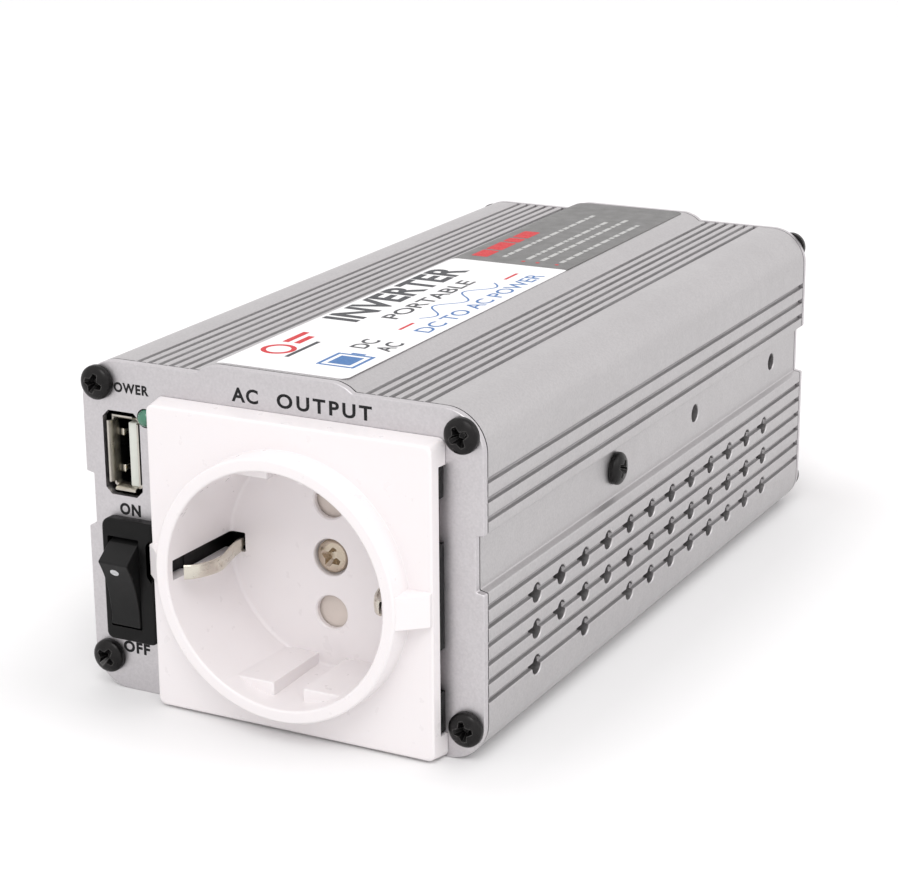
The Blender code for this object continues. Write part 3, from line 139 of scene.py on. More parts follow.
def rounded(corners):
    """An outline in which each (x, z, radius) corner becomes an arc."""
    outline = []
    for i, (x, z, radius) in enumerate(corners):
        corner = Vector((x, z))
        if not radius:
            outline.append((x, z))
            continue
        before = (Vector(corners[i - 1][:2]) - corner).normalized()
        after = (Vector(corners[(i + 1) % len(corners)][:2]) - corner).normalized()
        half = before.angle(after) / 2
        centre = corner + (before + after).normalized() * radius / math.sin(half)
        start = corner + before * radius / math.tan(half) - centre
        end = corner + after * radius / math.tan(half) - centre
        first = math.atan2(start.y, start.x)
        sweep = (math.atan2(end.y, end.x) - first + math.pi) % math.tau - math.pi
        step = 2 * math.acos(1 - ROUNDING_ERROR / radius)
        steps = max(2, math.ceil(abs(sweep) / step))
        for k in range(steps + 1):
            angle = first + sweep * k / steps
            across, up = radius * math.cos(angle), radius * math.sin(angle)
            outline.append((centre.x + across, centre.y + up))
    return outline


def rounded_box(x0, z0, x1, z1, radius):
    return rounded([(x0, z0, radius), (x1, z0, radius), (x1, z1, radius), (x0, z1, radius)])


def arc(centre, radius, start, end, steps):
    """Points of an arc, with its angles in degrees."""
    angles = [math.radians(start + (end - start) * i / steps) for i in range(steps + 1)]
    return [(centre[0] + radius * math.cos(a), centre[1] + radius * math.sin(a)) for a in angles]


AXES = {
    "x": Matrix(((0, 0, 1), (1, 0, 0), (0, 1, 0))),
    "y": Matrix(((1, 0, 0), (0, 0, 1), (0, 1, 0))),
    "z": Matrix.Identity(3),
}


def bevel_edges(bm, edges, offset, segments):
    bmesh.ops.bevel(bm, geom=edges, offset=offset, segments=segments, profile=0.5, affect="EDGES")


def prism(outline, axis, start, end, bevel=0.0, both=False, segments=3):
    """Extrudes an outline along an axis. The edges of its start end, or of both, can be rounded."""
    bm = bmesh.new()
    turn = AXES[axis]
    near = [bm.verts.new(turn @ Vector((*point, start))) for point in outline]
    far = [bm.verts.new(turn @ Vector((*point, end))) for point in outline]
    count = len(outline)
    bm.faces.new(near)
    bm.faces.new(far)
    for i in range(count):
        j = (i + 1) % count
        bm.faces.new((near[i], near[j], far[j], far[i]))
    bmesh.ops.recalc_face_normals(bm, faces=bm.faces)
    if bevel:
        ends = [set(near), set(far)] if both else [set(near)]
        edges = [e for e in bm.edges if any(set(e.verts) <= rim for rim in ends)]
        bevel_edges(bm, edges, bevel, segments)
    return bm


def box(low, high, bevel=0.0, segments=2):
    bm = bmesh.new()
    size = Vector(high) - Vector(low)
    middle = (Vector(high) + Vector(low)) / 2
    matrix = Matrix.Translation(middle) @ Matrix.Diagonal((*size, 1.0))
    bmesh.ops.create_cube(bm, size=1.0, matrix=matrix)
    if bevel:
        bevel_edges(bm, bm.edges[:], bevel, segments)
    return bm


def loft(rings):
    """Skins rings of equal count and caps both ends."""
    bm = bmesh.new()
    rows = [[bm.verts.new(point) for point in ring] for ring in rings]
    bm.faces.new(rows[0])
    bm.faces.new(rows[-1])
    for near, far in zip(rows, rows[1:]):
        for i in range(len(near)):
            j = (i + 1) % len(near)
            bm.faces.new((near[i], near[j], far[j], far[i]))
    bmesh.ops.recalc_face_normals(bm, faces=bm.faces)
    return bm


def turned(profile, centre=(0, 0, 0), axis="y", segments=64):
    """Spins a closed (radius, distance) profile about an axis through centre."""
    bm = bmesh.new()
    verts = [bm.verts.new((radius, 0, height)) for radius, height in profile]
    count = len(profile)
    edges = [
        bm.edges.new((verts[i], verts[(i + 1) % count]))
        for i in range(count)
        if profile[i][0] or profile[(i + 1) % count][0]
    ]
    bmesh.ops.spin(
        bm, geom=verts + edges, axis=(0, 0, 1), angle=math.tau, steps=segments, use_merge=True
    )
    bmesh.ops.remove_doubles(bm, verts=bm.verts, dist=1e-7)
    matrix = Matrix.Translation(centre) @ AXES[axis].to_4x4()
    bmesh.ops.transform(bm, matrix=matrix, verts=bm.verts)
    bmesh.ops.recalc_face_normals(bm, faces=bm.faces)
    return bm


def rod(radius, at, start, end, segments=32):
    """A cylinder along Y through the x and z of a point."""
    profile = [(0, start), (radius, start), (radius, end), (0, end)]
    return turned(profile, (at[0], 0, at[2]), "y", segments)


def joined(*meshes):
    """Several separate closed bmeshes in one."""
    whole = bmesh.new()
    for bm in meshes:
        scratch = bpy.data.meshes.new("scratch")
        bm.to_mesh(scratch)
        bm.free()
        whole.from_mesh(scratch)
        bpy.data.meshes.remove(scratch)
    return whole


def piece(name, bm, finish, minus=(), plus=(), sharp=32):
    """An object made from a bmesh by unions and cuts, shaded smooth up to the sharp angle."""
    obj = link_mesh(name, bm, finish)
    tools = []
    for operation, group in (("UNION", plus), ("DIFFERENCE", minus)):
        for tool_mesh in group:
            tool = link_mesh("tool", tool_mesh, finish)
            modifier = obj.modifiers.new("cut", "BOOLEAN")
            modifier.operation = operation
            modifier.object = tool
            modifier.solver = "EXACT"
            tools.append(tool)
    if tools:
        graph = bpy.context.evaluated_depsgraph_get()
        mesh = bpy.data.meshes.new_from_object(obj.evaluated_get(graph))
        obj.modifiers.clear()
        obj.data = mesh
        for tool in tools:
            bpy.data.objects.remove(tool, do_unlink=True)
    obj.data.name = name
    obj.data.shade_smooth()
    obj.data.set_sharp_from_angle(angle=math.radians(sharp))
    return obj


def link_mesh(name, bm, finish):
    mesh = bpy.data.meshes.new(name)
    bm.to_mesh(mesh)
    bm.free()
    mesh.materials.append(finish)
    obj = bpy.data.objects.new(name, mesh)
    bpy.context.scene.collection.objects.link(obj)
    return obj


def soften(obj):
    """Keeps flat faces flat next to their rounded edges."""
    modifier = obj.modifiers.new("normals", "WEIGHTED_NORMAL")
    modifier.keep_sharp = True
    return obj


def place(obj, slot, *nodes, body=MAIN_BODY):
    """Lets a piece ride a body and stand for its CAD nodes."""
    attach(obj, body)
    if nodes:
        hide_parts(*nodes)
    return obj


def numbered(name, count):
    return [f"{name}_{i}" for i in range(1, count + 1)]


def middle_of(node):
    low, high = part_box(node)
    return (low + high) / 2


def smooth_path(points, per_span):
    """A Catmull-Rom curve through 2-D points."""
    points = [Vector(p) for p in points]
    ends = [points[0] * 2 - points[1]] + points + [points[-1] * 2 - points[-2]]
    path = []
    for i in range(1, len(ends) - 2):
        a, b, c, d = ends[i - 1 : i + 3]
        for k in range(per_span):
            t = k / per_span
            path.append(
                0.5
                * (
                    2 * b
                    + (c - a) * t
                    + (2 * a - 5 * b + 4 * c - d) * t * t
                    + (3 * b - a - 3 * c + d) * t**3
                )
            )
    return path + [points[-1]]


# ---- materials


class Shade:
    """A Principled material and short ways to add nodes to it."""

    def __init__(self, name):
        self.material = bpy.data.materials.new(name)
        self.material.use_nodes = True
        self.tree = self.material.node_tree
        self.shader = self.tree.nodes["Principled BSDF"]
        self.here = self.add("ShaderNodeTexCoord").outputs["Object"]

    def add(self, kind, inputs=None, **settings):
        made = self.tree.nodes.new(kind)
        for key, value in settings.items():
            setattr(made, key, value)
        for key, value in (inputs or {}).items():
            self.feed(made.inputs[key], value)
        return made

    def feed(self, socket, value):
        if isinstance(value, bpy.types.NodeSocket):
            self.tree.links.new(value, socket)
        else:
            socket.default_value = value

    def set(self, name, value):
        self.feed(self.shader.inputs[name], value)

    def math(self, operation, *values, clamp=False):
        made = self.add("ShaderNodeMath", operation=operation, use_clamp=clamp)
        for index, value in enumerate(values):
            self.feed(made.inputs[index], value)
        return made.outputs[0]

    def noise(self, scale, detail=2.0, stretch=(1, 1, 1)):
        place = self.add("ShaderNodeMapping", {"Vector": self.here, "Scale": stretch})
        made = self.add(
            "ShaderNodeTexNoise",
            {"Vector": place.outputs["Vector"], "Scale": scale, "Detail": detail},
        )
        return made.outputs["Fac"]

    def between(self, fac, low, high):
        """Maps 0..1 noise, most of which lies near its middle, to low..high."""
        made = self.add(
            "ShaderNodeMapRange",
            {"Value": fac, "From Min": 0.3, "From Max": 0.7, "To Min": low, "To Max": high},
        )
        return made.outputs["Result"]

    def mix(self, fac, first, second):
        made = self.add("ShaderNodeMix", data_type="RGBA")
        self.feed(made.inputs["Factor"], fac)
        self.feed(made.inputs[6], first)
        self.feed(made.inputs[7], second)
        return made.outputs[2]

    def patches(self, scale, detail, first, second, stretch=(1, 1, 1)):
        """Soft patches of two colours."""
        fac = self.between(self.noise(scale, detail, stretch), 0.0, 1.0)
        return self.mix(fac, first, second)

    def rough(self, scale, detail, low, high):
        """Uneven roughness."""
        self.set("Roughness", self.between(self.noise(scale, detail), low, high))

    def bump(self, height, depth, under=None):
        """Adds relief of a depth in metres, on top of an earlier one."""
        made = self.add("ShaderNodeBump", {"Height": height, "Distance": depth})
        if under:
            self.feed(made.inputs["Normal"], under)
        return made.outputs["Normal"]

    def relief(self, *layers, under=None):
        """Layers of fine relief, each a noise (scale, detail, depth)."""
        for scale, detail, depth in layers:
            under = self.bump(self.noise(scale, detail), depth, under)
        self.set("Normal", under)

    def edge_wear(self, radius):
        """1 along outer edges within radius, and 0 on flats."""
        bevel = self.add("ShaderNodeBevel", {"Radius": radius}, samples=4)
        flat = self.add("ShaderNodeNewGeometry").outputs["Normal"]
        dot = self.add("ShaderNodeVectorMath", operation="DOT_PRODUCT")
        self.feed(dot.inputs[0], bevel.outputs["Normal"])
        self.feed(dot.inputs[1], flat)
        turned_away = self.math("SUBTRACT", 1.0, dot.outputs["Value"])
        made = self.add(
            "ShaderNodeMapRange", {"Value": turned_away, "From Min": 0.02, "From Max": 0.12}
        )
        return made.outputs["Result"]


def grey(value):
    return (value, value, value, 1.0)


def finish(
    name,
    colour,
    roughness,
    metallic=0.0,
    shade=0.9,
    patch=120,
    uneven=0.05,
    grain=3500,
    depth=0.006 * MM,
    stretch=(1, 1, 1),
    wear=None,
    **inputs,
):
    """Two tones mixed by soft noise, uneven roughness, a fine grain, and optional worn edges."""
    made = Shade(name)
    dark = (*(c * shade for c in colour), 1.0)
    patches = made.between(made.noise(patch, 4.0, stretch), 0.0, 1.0)
    colours = made.mix(patches, (*colour, 1.0), dark)
    smudge = made.noise(patch * 3, 6.0, stretch)
    rough = made.between(smudge, roughness - uneven, roughness + uneven)
    fine = made.noise(grain, 3.0, stretch)
    if wear:
        worn = made.math("MULTIPLY", made.edge_wear(0.25 * MM), made.between(smudge, 0.1, 1.0))
        colours = made.mix(worn, colours, (*wear, 1.0))
    made.set("Base Color", colours)
    made.set("Roughness", rough)
    made.set("Metallic", metallic)
    made.set("Normal", made.bump(fine, depth))
    for key, value in inputs.items():
        made.set(key.replace("_", " ").title().replace("Ior", "IOR"), value)
    return made.material


def satin_aluminium():
    """Clear-anodised, bead-blasted aluminium with a fine even grain."""
    made = Shade("satin_aluminium")
    tone = made.patches(60, 3.0, (0.690, 0.668, 0.682, 1), (0.665, 0.643, 0.657, 1))
    blasted = made.math("MULTIPLY", made.between(made.noise(2600, 2.0), 0.0, 1.0), 0.5)
    made.set("Base Color", made.mix(blasted, tone, (0.555, 0.538, 0.549, 1)))
    made.rough(260, 5.0, 0.40, 0.50)
    made.set("Metallic", 1.0)
    made.relief((5200, 2.0, 0.006 * MM), (1500, 3.0, 0.012 * MM))
    return made.material


def extruded_aluminium():
    """The same metal with faint die lines along the extrusion, and brighter worn edges."""
    made = Shade("extruded_aluminium")
    tone = made.patches(45, 3.0, (0.610, 0.595, 0.599, 1), (0.585, 0.570, 0.574, 1))
    blasted = made.math("MULTIPLY", made.between(made.noise(2600, 2.0), 0.0, 1.0), 0.5)
    tone = made.mix(blasted, tone, (0.475, 0.465, 0.470, 1))
    worn = made.math("MULTIPLY", made.edge_wear(0.2 * MM), 0.5)
    made.set("Base Color", made.mix(worn, tone, (0.74, 0.73, 0.735, 1)))
    made.rough(300, 5.0, 0.38, 0.48)
    made.set("Metallic", 1.0)
    die_lines = made.bump(made.noise(420, 4.0, (1, 0.02, 1)), 0.010 * MM)
    made.relief((1500, 3.0, 0.010 * MM), under=die_lines)
    return made.material


def groove_painted_shade():
    """Painted shade: groove faces get a darker, duller metal in two soft patchy tones, standing in
    for the shadow inside the grooves.
    """
    made = Shade("groove_painted_shade")
    lighter_shade, darker_shade = (0.52, 0.51, 0.515, 1), (0.42, 0.41, 0.415, 1)
    made.set("Base Color", made.patches(350, 5.0, lighter_shade, darker_shade, (1, 0.15, 1)))
    made.rough(700, 4.0, 0.5, 0.68)
    made.set("Metallic", 0.9)
    made.set("Normal", made.bump(made.noise(2600, 3.0, (1, 0.1, 1)), 0.012 * MM))
    return made.material


def white_plastic():
    """Glossy moulded white thermoplastic with a faint orange peel."""
    made = Shade("white_plastic")
    light, dark = (0.885, 0.848, 0.853, 1), (0.875, 0.837, 0.842, 1)
    made.set("Base Color", made.patches(55, 3.0, light, dark))
    made.rough(420, 5.0, 0.27, 0.33)
    made.set("Subsurface Weight", 0.06)
    made.set("Subsurface Radius", (0.9 * MM, 0.8 * MM, 0.7 * MM))
    made.relief((240, 2.0, 0.004 * MM), (3600, 2.0, 0.0006 * MM))
    return made.material


def black_plastic(name, tone, roughness, depth):
    """Moulded black plastic with a spark-eroded texture and slightly polished edges."""
    made = Shade(name)
    base = made.patches(200, 4.0, grey(tone), grey(tone * 1.35))
    worn = made.math("MULTIPLY", made.edge_wear(0.25 * MM), 0.3)
    made.set("Base Color", made.mix(worn, base, grey(tone * 4 + 0.02)))
    made.rough(600, 5.0, roughness - 0.06, roughness + 0.08)
    made.relief((3000, 4.0, depth))
    made.set("Specular IOR Level", 0.2)
    return made.material


def brushed_metal(name, colour, roughness, wear=None):
    return finish(
        name, colour, roughness, 1.0, shade=0.86, patch=220, uneven=0.08, grain=5000,
        depth=0.003 * MM, wear=wear,
    )


def usb_steel():
    """Plated steel, bright at the mouth, with painted shade further in: it turns nearly black with
    depth.
    """
    made = Shade("usb_steel")
    depth = made.add("ShaderNodeSeparateXYZ", {"Vector": made.here}).outputs["Y"]
    # Painted shade: from 2 mm behind the panel front the colour fades to nearly black over 1 mm of
    # depth.
    past_mouth = made.math("SUBTRACT", depth, FRONT + 2.0 * MM)
    into_shade = made.math("DIVIDE", past_mouth, 1.0 * MM, clamp=True)
    bright = made.patches(320, 5.0, (0.62, 0.59, 0.53, 1), (0.50, 0.475, 0.42, 1))
    deep_shade = made.patches(320, 5.0, grey(0.020), grey(0.035))
    made.set("Base Color", made.mix(into_shade, bright, deep_shade))
    made.rough(700, 4.0, 0.26, 0.40)
    made.set("Metallic", 1.0)
    made.relief((4200, 3.0, 0.003 * MM))
    return made.material


def label_film():
    """Printed polyester film: white in front and dark grey behind, under a satin laminate."""
    made = Shade("label_film")
    along = made.add("ShaderNodeSeparateXYZ", {"Vector": made.here}).outputs["Y"]
    behind = made.math("GREATER_THAN", along, LABEL_DARK_START)
    white = made.patches(90, 4.0, (0.935, 0.930, 0.935, 1), (0.905, 0.900, 0.905, 1))
    dark = made.patches(2600, 2.0, (0.125, 0.124, 0.121, 1), (0.155, 0.154, 0.150, 1))
    made.set("Base Color", made.mix(behind, white, dark))
    made.rough(380, 5.0, 0.34, 0.46)
    made.set("Specular IOR Level", 0.22)
    made.set("Coat Weight", 0.08)
    made.set("Coat Roughness", 0.25)
    made.relief((35, 2.0, 0.03 * MM), (2200, 3.0, 0.003 * MM))
    return made.material


def ink(name, colour):
    """Screen-printed ink with a slightly broken film."""
    made = Shade(name)
    lighter = tuple(c * 1.3 + 0.01 for c in colour)
    made.set("Base Color", made.patches(2400, 3.0, (*colour, 1.0), (*lighter, 1.0)))
    made.rough(900, 4.0, 0.42, 0.56)
    made.set("Specular IOR Level", 0.2)
    made.relief((1800, 3.0, 0.004 * MM))
    return made.material


def led_lens():
    """Tinted epoxy dome, unlit."""
    made = Shade("led_green")
    light, dark = (0.064, 0.235, 0.148, 1), (0.047, 0.182, 0.117, 1)
    made.set("Base Color", made.patches(500, 2.0, light, dark))
    made.rough(900, 3.0, 0.10, 0.2)
    made.set("Subsurface Weight", 0.3)
    made.set("Subsurface Radius", (0.2 * MM, 0.8 * MM, 0.4 * MM))
    made.set("Coat Weight", 0.6)
    made.relief((700, 2.0, 0.004 * MM))
    return made.material


def board_green():
    """Solder mask over copper tracks."""
    made = Shade("board_green")
    copper = made.math("GREATER_THAN", made.noise(210, 1.0), 0.52)
    made.set("Base Color", made.mix(copper, (0.010, 0.10, 0.045, 1), (0.03, 0.2, 0.08, 1)))
    made.rough(800, 4.0, 0.3, 0.45)
    made.set("Coat Weight", 0.3)
    made.relief((3000, 2.0, 0.003 * MM), under=made.bump(copper, 0.03 * MM))
    return made.material


def wound(name, colour, turns_per_metre, metallic):
    """Parallel turns of wire or tape."""
    made = Shade(name)
    wave = made.add(
        "ShaderNodeTexWave",
        {"Vector": made.here, "Scale": turns_per_metre, "Distortion": 0.6, "Detail": 1.0},
        bands_direction="DIAGONAL",
    ).outputs["Fac"]
    made.set("Base Color", made.mix(wave, (*(c * 0.55 for c in colour), 1.0), (*colour, 1.0)))
    made.rough(900, 4.0, 0.3, 0.45)
    made.set("Metallic", metallic)
    made.set("Normal", made.bump(wave, 0.15 * MM))
    return made.material


M = {
    "satin_aluminium": satin_aluminium(),
    "extruded_aluminium": extruded_aluminium(),
    "groove": groove_painted_shade(),
    "white_plastic": white_plastic(),
    "black_plastic": black_plastic("black_plastic", 0.003, 0.42, 0.012 * MM),
    "rocker_black": black_plastic("rocker_black", 0.009, 0.40, 0.006 * MM),
    "black_steel": finish(
        "black_steel", (0.022, 0.021, 0.021), 0.34, 0.75, shade=0.6, patch=500, uneven=0.1,
        grain=4200, depth=0.008 * MM, wear=(0.20, 0.195, 0.19),
    ),
    "nickel": brushed_metal("nickel", (0.76, 0.72, 0.63), 0.24),
    "usb_steel": usb_steel(),
    "bright_steel": brushed_metal("bright_steel", (0.58, 0.50, 0.40), 0.2, (0.85, 0.8, 0.72)),
    "brass": brushed_metal("brass", (0.72, 0.50, 0.22), 0.3, (0.9, 0.74, 0.42)),
    "gold": brushed_metal("gold", (0.85, 0.62, 0.25), 0.22),
    "shutter_grey": finish(
        "shutter_grey", (0.74, 0.66, 0.60), 0.45, shade=0.88, patch=180, depth=0.008 * MM
    ),
    "tongue_white": finish(
        "tongue_white", (0.72, 0.74, 0.68), 0.42, shade=0.9, patch=260, depth=0.006 * MM
    ),
    "led_green": led_lens(),
    "label_film": label_film(),
    "board_green": board_green(),
    "ferrite": finish(
        "ferrite", (0.055, 0.055, 0.06), 0.62, shade=0.6, patch=700, uneven=0.1, grain=2200,
        depth=0.04 * MM, wear=(0.16, 0.16, 0.165),
    ),
    "winding_tape": wound("winding_tape", (0.72, 0.55, 0.09), 55.0, 0.0),
    "copper_wire": wound("copper_wire", (0.72, 0.30, 0.12), 160.0, 1.0),
    "capacitor_sleeve": finish(
        "capacitor_sleeve", (0.02, 0.03, 0.09), 0.3, shade=0.7, patch=160, depth=0.006 * MM,
        coat_weight=0.4,
    ),
    "fuse_amber": finish(
        "fuse_amber", (0.75, 0.33, 0.03), 0.22, shade=0.8, patch=200, depth=0.004 * MM,
        transmission_weight=0.35,
    ),
    "silicone_pad": finish(
        "silicone_pad", (0.42, 0.47, 0.52), 0.8, shade=0.85, patch=300, grain=1500,
        depth=0.03 * MM, sheen_weight=0.2,
    ),
    "cable_red": finish("cable_red", (0.52, 0.015, 0.012), 0.45, shade=0.8, patch=260),
    "cable_black": finish("cable_black", (0.018, 0.018, 0.018), 0.45, shade=0.6, patch=260),
    "cable_brown": finish("cable_brown", (0.16, 0.06, 0.025), 0.45, shade=0.8, patch=260),
    "cable_blue": finish("cable_blue", (0.02, 0.07, 0.36), 0.45, shade=0.8, patch=260),
    "terminal_red": finish(
        "terminal_red", (0.50, 0.012, 0.010), 0.36, shade=0.82, patch=160, uneven=0.07,
        depth=0.010 * MM, coat_weight=0.15,
    ),
    "ink_dark": ink("ink_dark", (0.045, 0.047, 0.052)),
    "ink_panel": ink("ink_panel", (0.006, 0.006, 0.007)),
    "ink_red": ink("ink_red", (0.52, 0.02, 0.025)),
    "ink_blue": ink("ink_blue", (0.05, 0.15, 0.36)),
    "ink_light": ink("ink_light", (0.44, 0.44, 0.43)),
    "ink_dot": ink("ink_dot", (0.50, 0.51, 0.52)),
}


# ---- case


def groove_corners(across, rim, inward):
    """Four corners of one groove. across lies along the surface, rim is the surface itself."""
    lip, root = 0.13 * MM, 0.2 * MM
    return [
        (across - GROOVE_HALF, rim, lip),
        (across - GROOVE_HALF, rim - inward, root),
        (across + GROOVE_HALF, rim - inward, root),
        (across + GROOVE_HALF, rim, lip),
    ]


def case_corners(grooved):
    """Corners of the outside of the case, anticlockwise from the lower right."""
    half = [(HALF_WIDTH, 0.0, 6.5 * MM)]
    inner = HALF_WIDTH - CHANNEL_DEPTH
    sides = {True: [], False: []}
    for height in SIDE_GROOVES if grooved else []:
        corners = groove_corners(height, HALF_WIDTH, GROOVE_DEPTH)
        sides[height > CHANNEL[1]] += [(x, z, radius) for z, x, radius in corners]
    half += sides[False]
    half += [
        (HALF_WIDTH, CHANNEL[0], 0.28 * MM),
        (inner, CHANNEL[0] + 0.25 * MM, 0.3 * MM),
        (inner, CHANNEL[1] - 0.25 * MM, 0.3 * MM),
        (HALF_WIDTH, CHANNEL[1], 0.28 * MM),
    ]
    half += sides[True]
    half.append((HALF_WIDTH, SIDE_TOP, 7.0 * MM))
    for x in TOP_GROOVES if grooved else []:
        half += groove_corners(x, SIDE_TOP, GROOVE_DEPTH)[::-1]
    half += [
        (14.5 * MM, SIDE_TOP, 0.4 * MM),
        (13.3 * MM, SIDE_TOP + 0.85 * MM, 3.0 * MM),
        (11.4 * MM, PLATEAU_TOP, 4.0 * MM),
    ]
    return half + [(-x, z, radius) for x, z, radius in reversed(half)]


def cavity_outline():
    """The inside of the case, with its screw bosses and board guides."""
    side, boss, guide = 35.0 * MM, 31.3 * MM, 29.6 * MM
    ceiling = SIDE_TOP - 2.2 * MM
    half = [
        (boss, 2.0 * MM),
        (boss, 4.0 * MM),
        (guide, 4.0 * MM),
        (guide, 4.8 * MM),
        (boss, 4.8 * MM),
        (boss, 7.0 * MM),
        (guide, 7.0 * MM),
        (guide, 7.8 * MM),
        (side, 8.3 * MM),
        (side, CHANNEL[0] - 2.0 * MM),
        (side - 1.3 * MM, CHANNEL[0] - 0.7 * MM),
        (side - 1.3 * MM, CHANNEL[1] + 0.7 * MM),
        (side, CHANNEL[1] + 2.0 * MM),
        (side, 50.5 * MM),
        (boss, 51.9 * MM),
        (boss - 0.2 * MM, ceiling),
    ]
    return half + [(-x, z) for x, z in reversed(half)]


def side_drill(radius, y, z, side, surface):
    """A hole through a side wall, slightly countersunk at its surface."""
    flare = 0.16 * MM
    inner, outer = surface - 5.0 * MM, surface + 1.0 * MM
    profile = [
        (0, side * inner),
        (radius, side * inner),
        (radius, side * (surface - flare)),
        (radius + flare + 1.0 * MM, side * outer),
        (0, side * outer),
    ]
    return turned(profile, (0, y, z), "x", 24)


def case_drills():
    """The vent holes of both sides and the clamp holes of the right one."""
    left_out = {(2, 1), (2, 3)}
    drills = {1: [], -1: []}
    for row, height in enumerate(VENT_ROWS):
        for i in range(12):
            if (row, i) not in left_out:
                y = FIRST_VENT + VENT_PITCH * i
                for side in drills:
                    drills[side].append(side_drill(VENT_RADIUS, y, height, side, HALF_WIDTH))
    for y in CLAMP_HOLES:
        surface = HALF_WIDTH - CHANNEL_DEPTH
        drills[1].append(side_drill(VENT_RADIUS, y, CLAMP_HEIGHT, 1, surface))
    return drills


def panel_screw_places(side):
    return [middle_of(node) for node in numbered(f"{side}_panel_screw", 4)]


def in_groove(across, depth, grooves):
    """Whether a face lies inside one of the grooves of a side or of the top."""
    lip, floor, margin = 0.16 * MM, GROOVE_DEPTH + 0.05 * MM, 0.02 * MM
    near = any(abs(across - groove) < GROOVE_HALF + margin for groove in grooves)
    return near and lip < depth < floor


def build_case():
    corner_holes = [rod(1.45 * MM, p, -REAR, REAR, 24) for p in panel_screw_places("front")]
    drills = case_drills()
    case = piece(
        "case_body",
        prism(rounded(case_corners(True)), "y", -CASE_END, CASE_END),
        M["extruded_aluminium"],
        minus=[
            prism(cavity_outline(), "y", -REAR, REAR),
            joined(*corner_holes),
            joined(*drills[1]),
            joined(*drills[-1]),
        ],
    )
    # Faces inside the side and top grooves take the groove material, which carries painted shade.
    case.data.materials.append(M["groove"])
    for face in case.data.polygons:
        x, _, z = face.center
        in_side = in_groove(z, HALF_WIDTH - abs(x), SIDE_GROOVES)
        in_top = in_groove(abs(x), SIDE_TOP - z, TOP_GROOVES)
        face.material_index = int(in_side or in_top)
    place(case, "satin_aluminium", "case_extrusion")


def usb_opening():
    """A tall opening with four cut corners."""
    centre = (SHELL_LOW + SHELL_HIGH) / 2
    half_x, half_z = USB_OPENING
    right = [(0.68, -1), (1, -0.84), (1, 0.84), (0.68, 1)]
    shares = [(-0.68, -1)] + right + [(-0.68, 1), (-1, 0.84), (-1, -0.84)]
    return [(centre.x + x * half_x, centre.z + z * half_z) for x, z in shares]


def build_front_panel():
    start, end = FRONT - MM, FRONT + 3 * MM
    screw_holes = [rod(HOLE_RADIUS, p, start, end, 24) for p in panel_screw_places("front")]
    switch = box(
        (BEZEL_LOW.x + 0.3 * MM, start, BEZEL_LOW.z + 0.8 * MM),
        (BEZEL_HIGH.x - 1.6 * MM, end, BEZEL_HIGH.z - 0.8 * MM),
    )
    panel = piece(
        "front_panel_plate",
        prism(rounded(case_corners(False)), "y", FRONT, FRONT + PANEL_THICKNESS, 0.22 * MM),
        M["satin_aluminium"],
        minus=[
            joined(
                prism(usb_opening(), "y", start, end),
                switch,
                rod(23.5 * MM, SOCKET, start, end, 96),
                *screw_holes,
            ),
            rod(1.65 * MM, LED, start, end),
        ],
    )
    place(soften(panel), "satin_aluminium", "front_panel")


def grille_slot(inner, outer, quarter):
    """One arc-shaped slot of the fan grille between two spokes."""
    spoke = 1.1 * MM
    first = math.degrees(math.asin(spoke / inner))
    outer_first = math.degrees(math.asin(spoke / outer))
    centre, start = (FAN.x, FAN.z), 90 * quarter
    there = arc(centre, inner, start + first, start + 90 - first, 14)
    return there + arc(centre, outer, start + 90 - outer_first, start + outer_first, 18)


def build_rear_panel():
    start, end = REAR - 3 * MM, REAR + MM
    slots = [
        prism(grille_slot(inner, inner + GRILLE_SLOT_WIDTH, quarter), "y", start, end)
        for inner in GRILLE_RINGS
        for quarter in range(4)
    ]
    holes = [rod(4.4 * MM, (TERMINAL_X, 0, z), start, end, 40) for z in TERMINALS.values()]
    screws = panel_screw_places("rear") + [middle_of(f"fan_screw_{i}") for i in (1, 2)]
    holes += [rod(HOLE_RADIUS, p, start, end, 24) for p in screws]
    panel = piece(
        "rear_panel_plate",
        prism(rounded(case_corners(False)), "y", REAR, REAR - PANEL_THICKNESS, 0.22 * MM),
        M["satin_aluminium"],
        minus=[joined(*slots, *holes)],
    )
    place(soften(panel), "satin_aluminium", "rear_panel")


# ---- screws


def cross_outline(reach, half):
    """A four-armed star whose arms narrow towards their ends."""
    root, tip = half * 1.35, half * 0.8
    return [
        (root, root), (tip, reach), (-tip, reach), (-root, root),
        (-reach, tip), (-reach, -tip), (-root, -root), (-tip, -reach),
        (tip, -reach), (root, -root), (reach, -tip), (reach, tip),
    ]


def phillips_screw(name, size, finish_name, recess=1.0):
    """A pan-head screw pointing along +Y from its seat, with a tapering cross recess."""
    radius, height, shank, length = size
    angles = [math.radians(9 * i) for i in range(1, 10)]
    dome = [(radius * math.sin(a), -height * (0.38 + 0.62 * math.cos(a))) for a in angles]
    profile = [(0, -height)] + dome
    profile += [
        (radius, -height * 0.3),
        (radius, -0.06 * MM),
        (radius - 0.06 * MM, 0),
        (shank, 0),
        (shank, length - shank),
        (shank * 0.4, length),
        (0, length),
    ]
    rings = []
    for level, reach, half in ((1.4, 0.80, 0.24), (0.92, 0.61, 0.165), (0.10, 0.20, 0.08)):
        outline = cross_outline(radius * reach * recess, radius * half * recess)
        rings.append([(x, -height * level, z) for x, z in outline])
    head = turned(profile, segments=48)
    return piece(name, head, M[finish_name], minus=[loft(rings)], sharp=38)


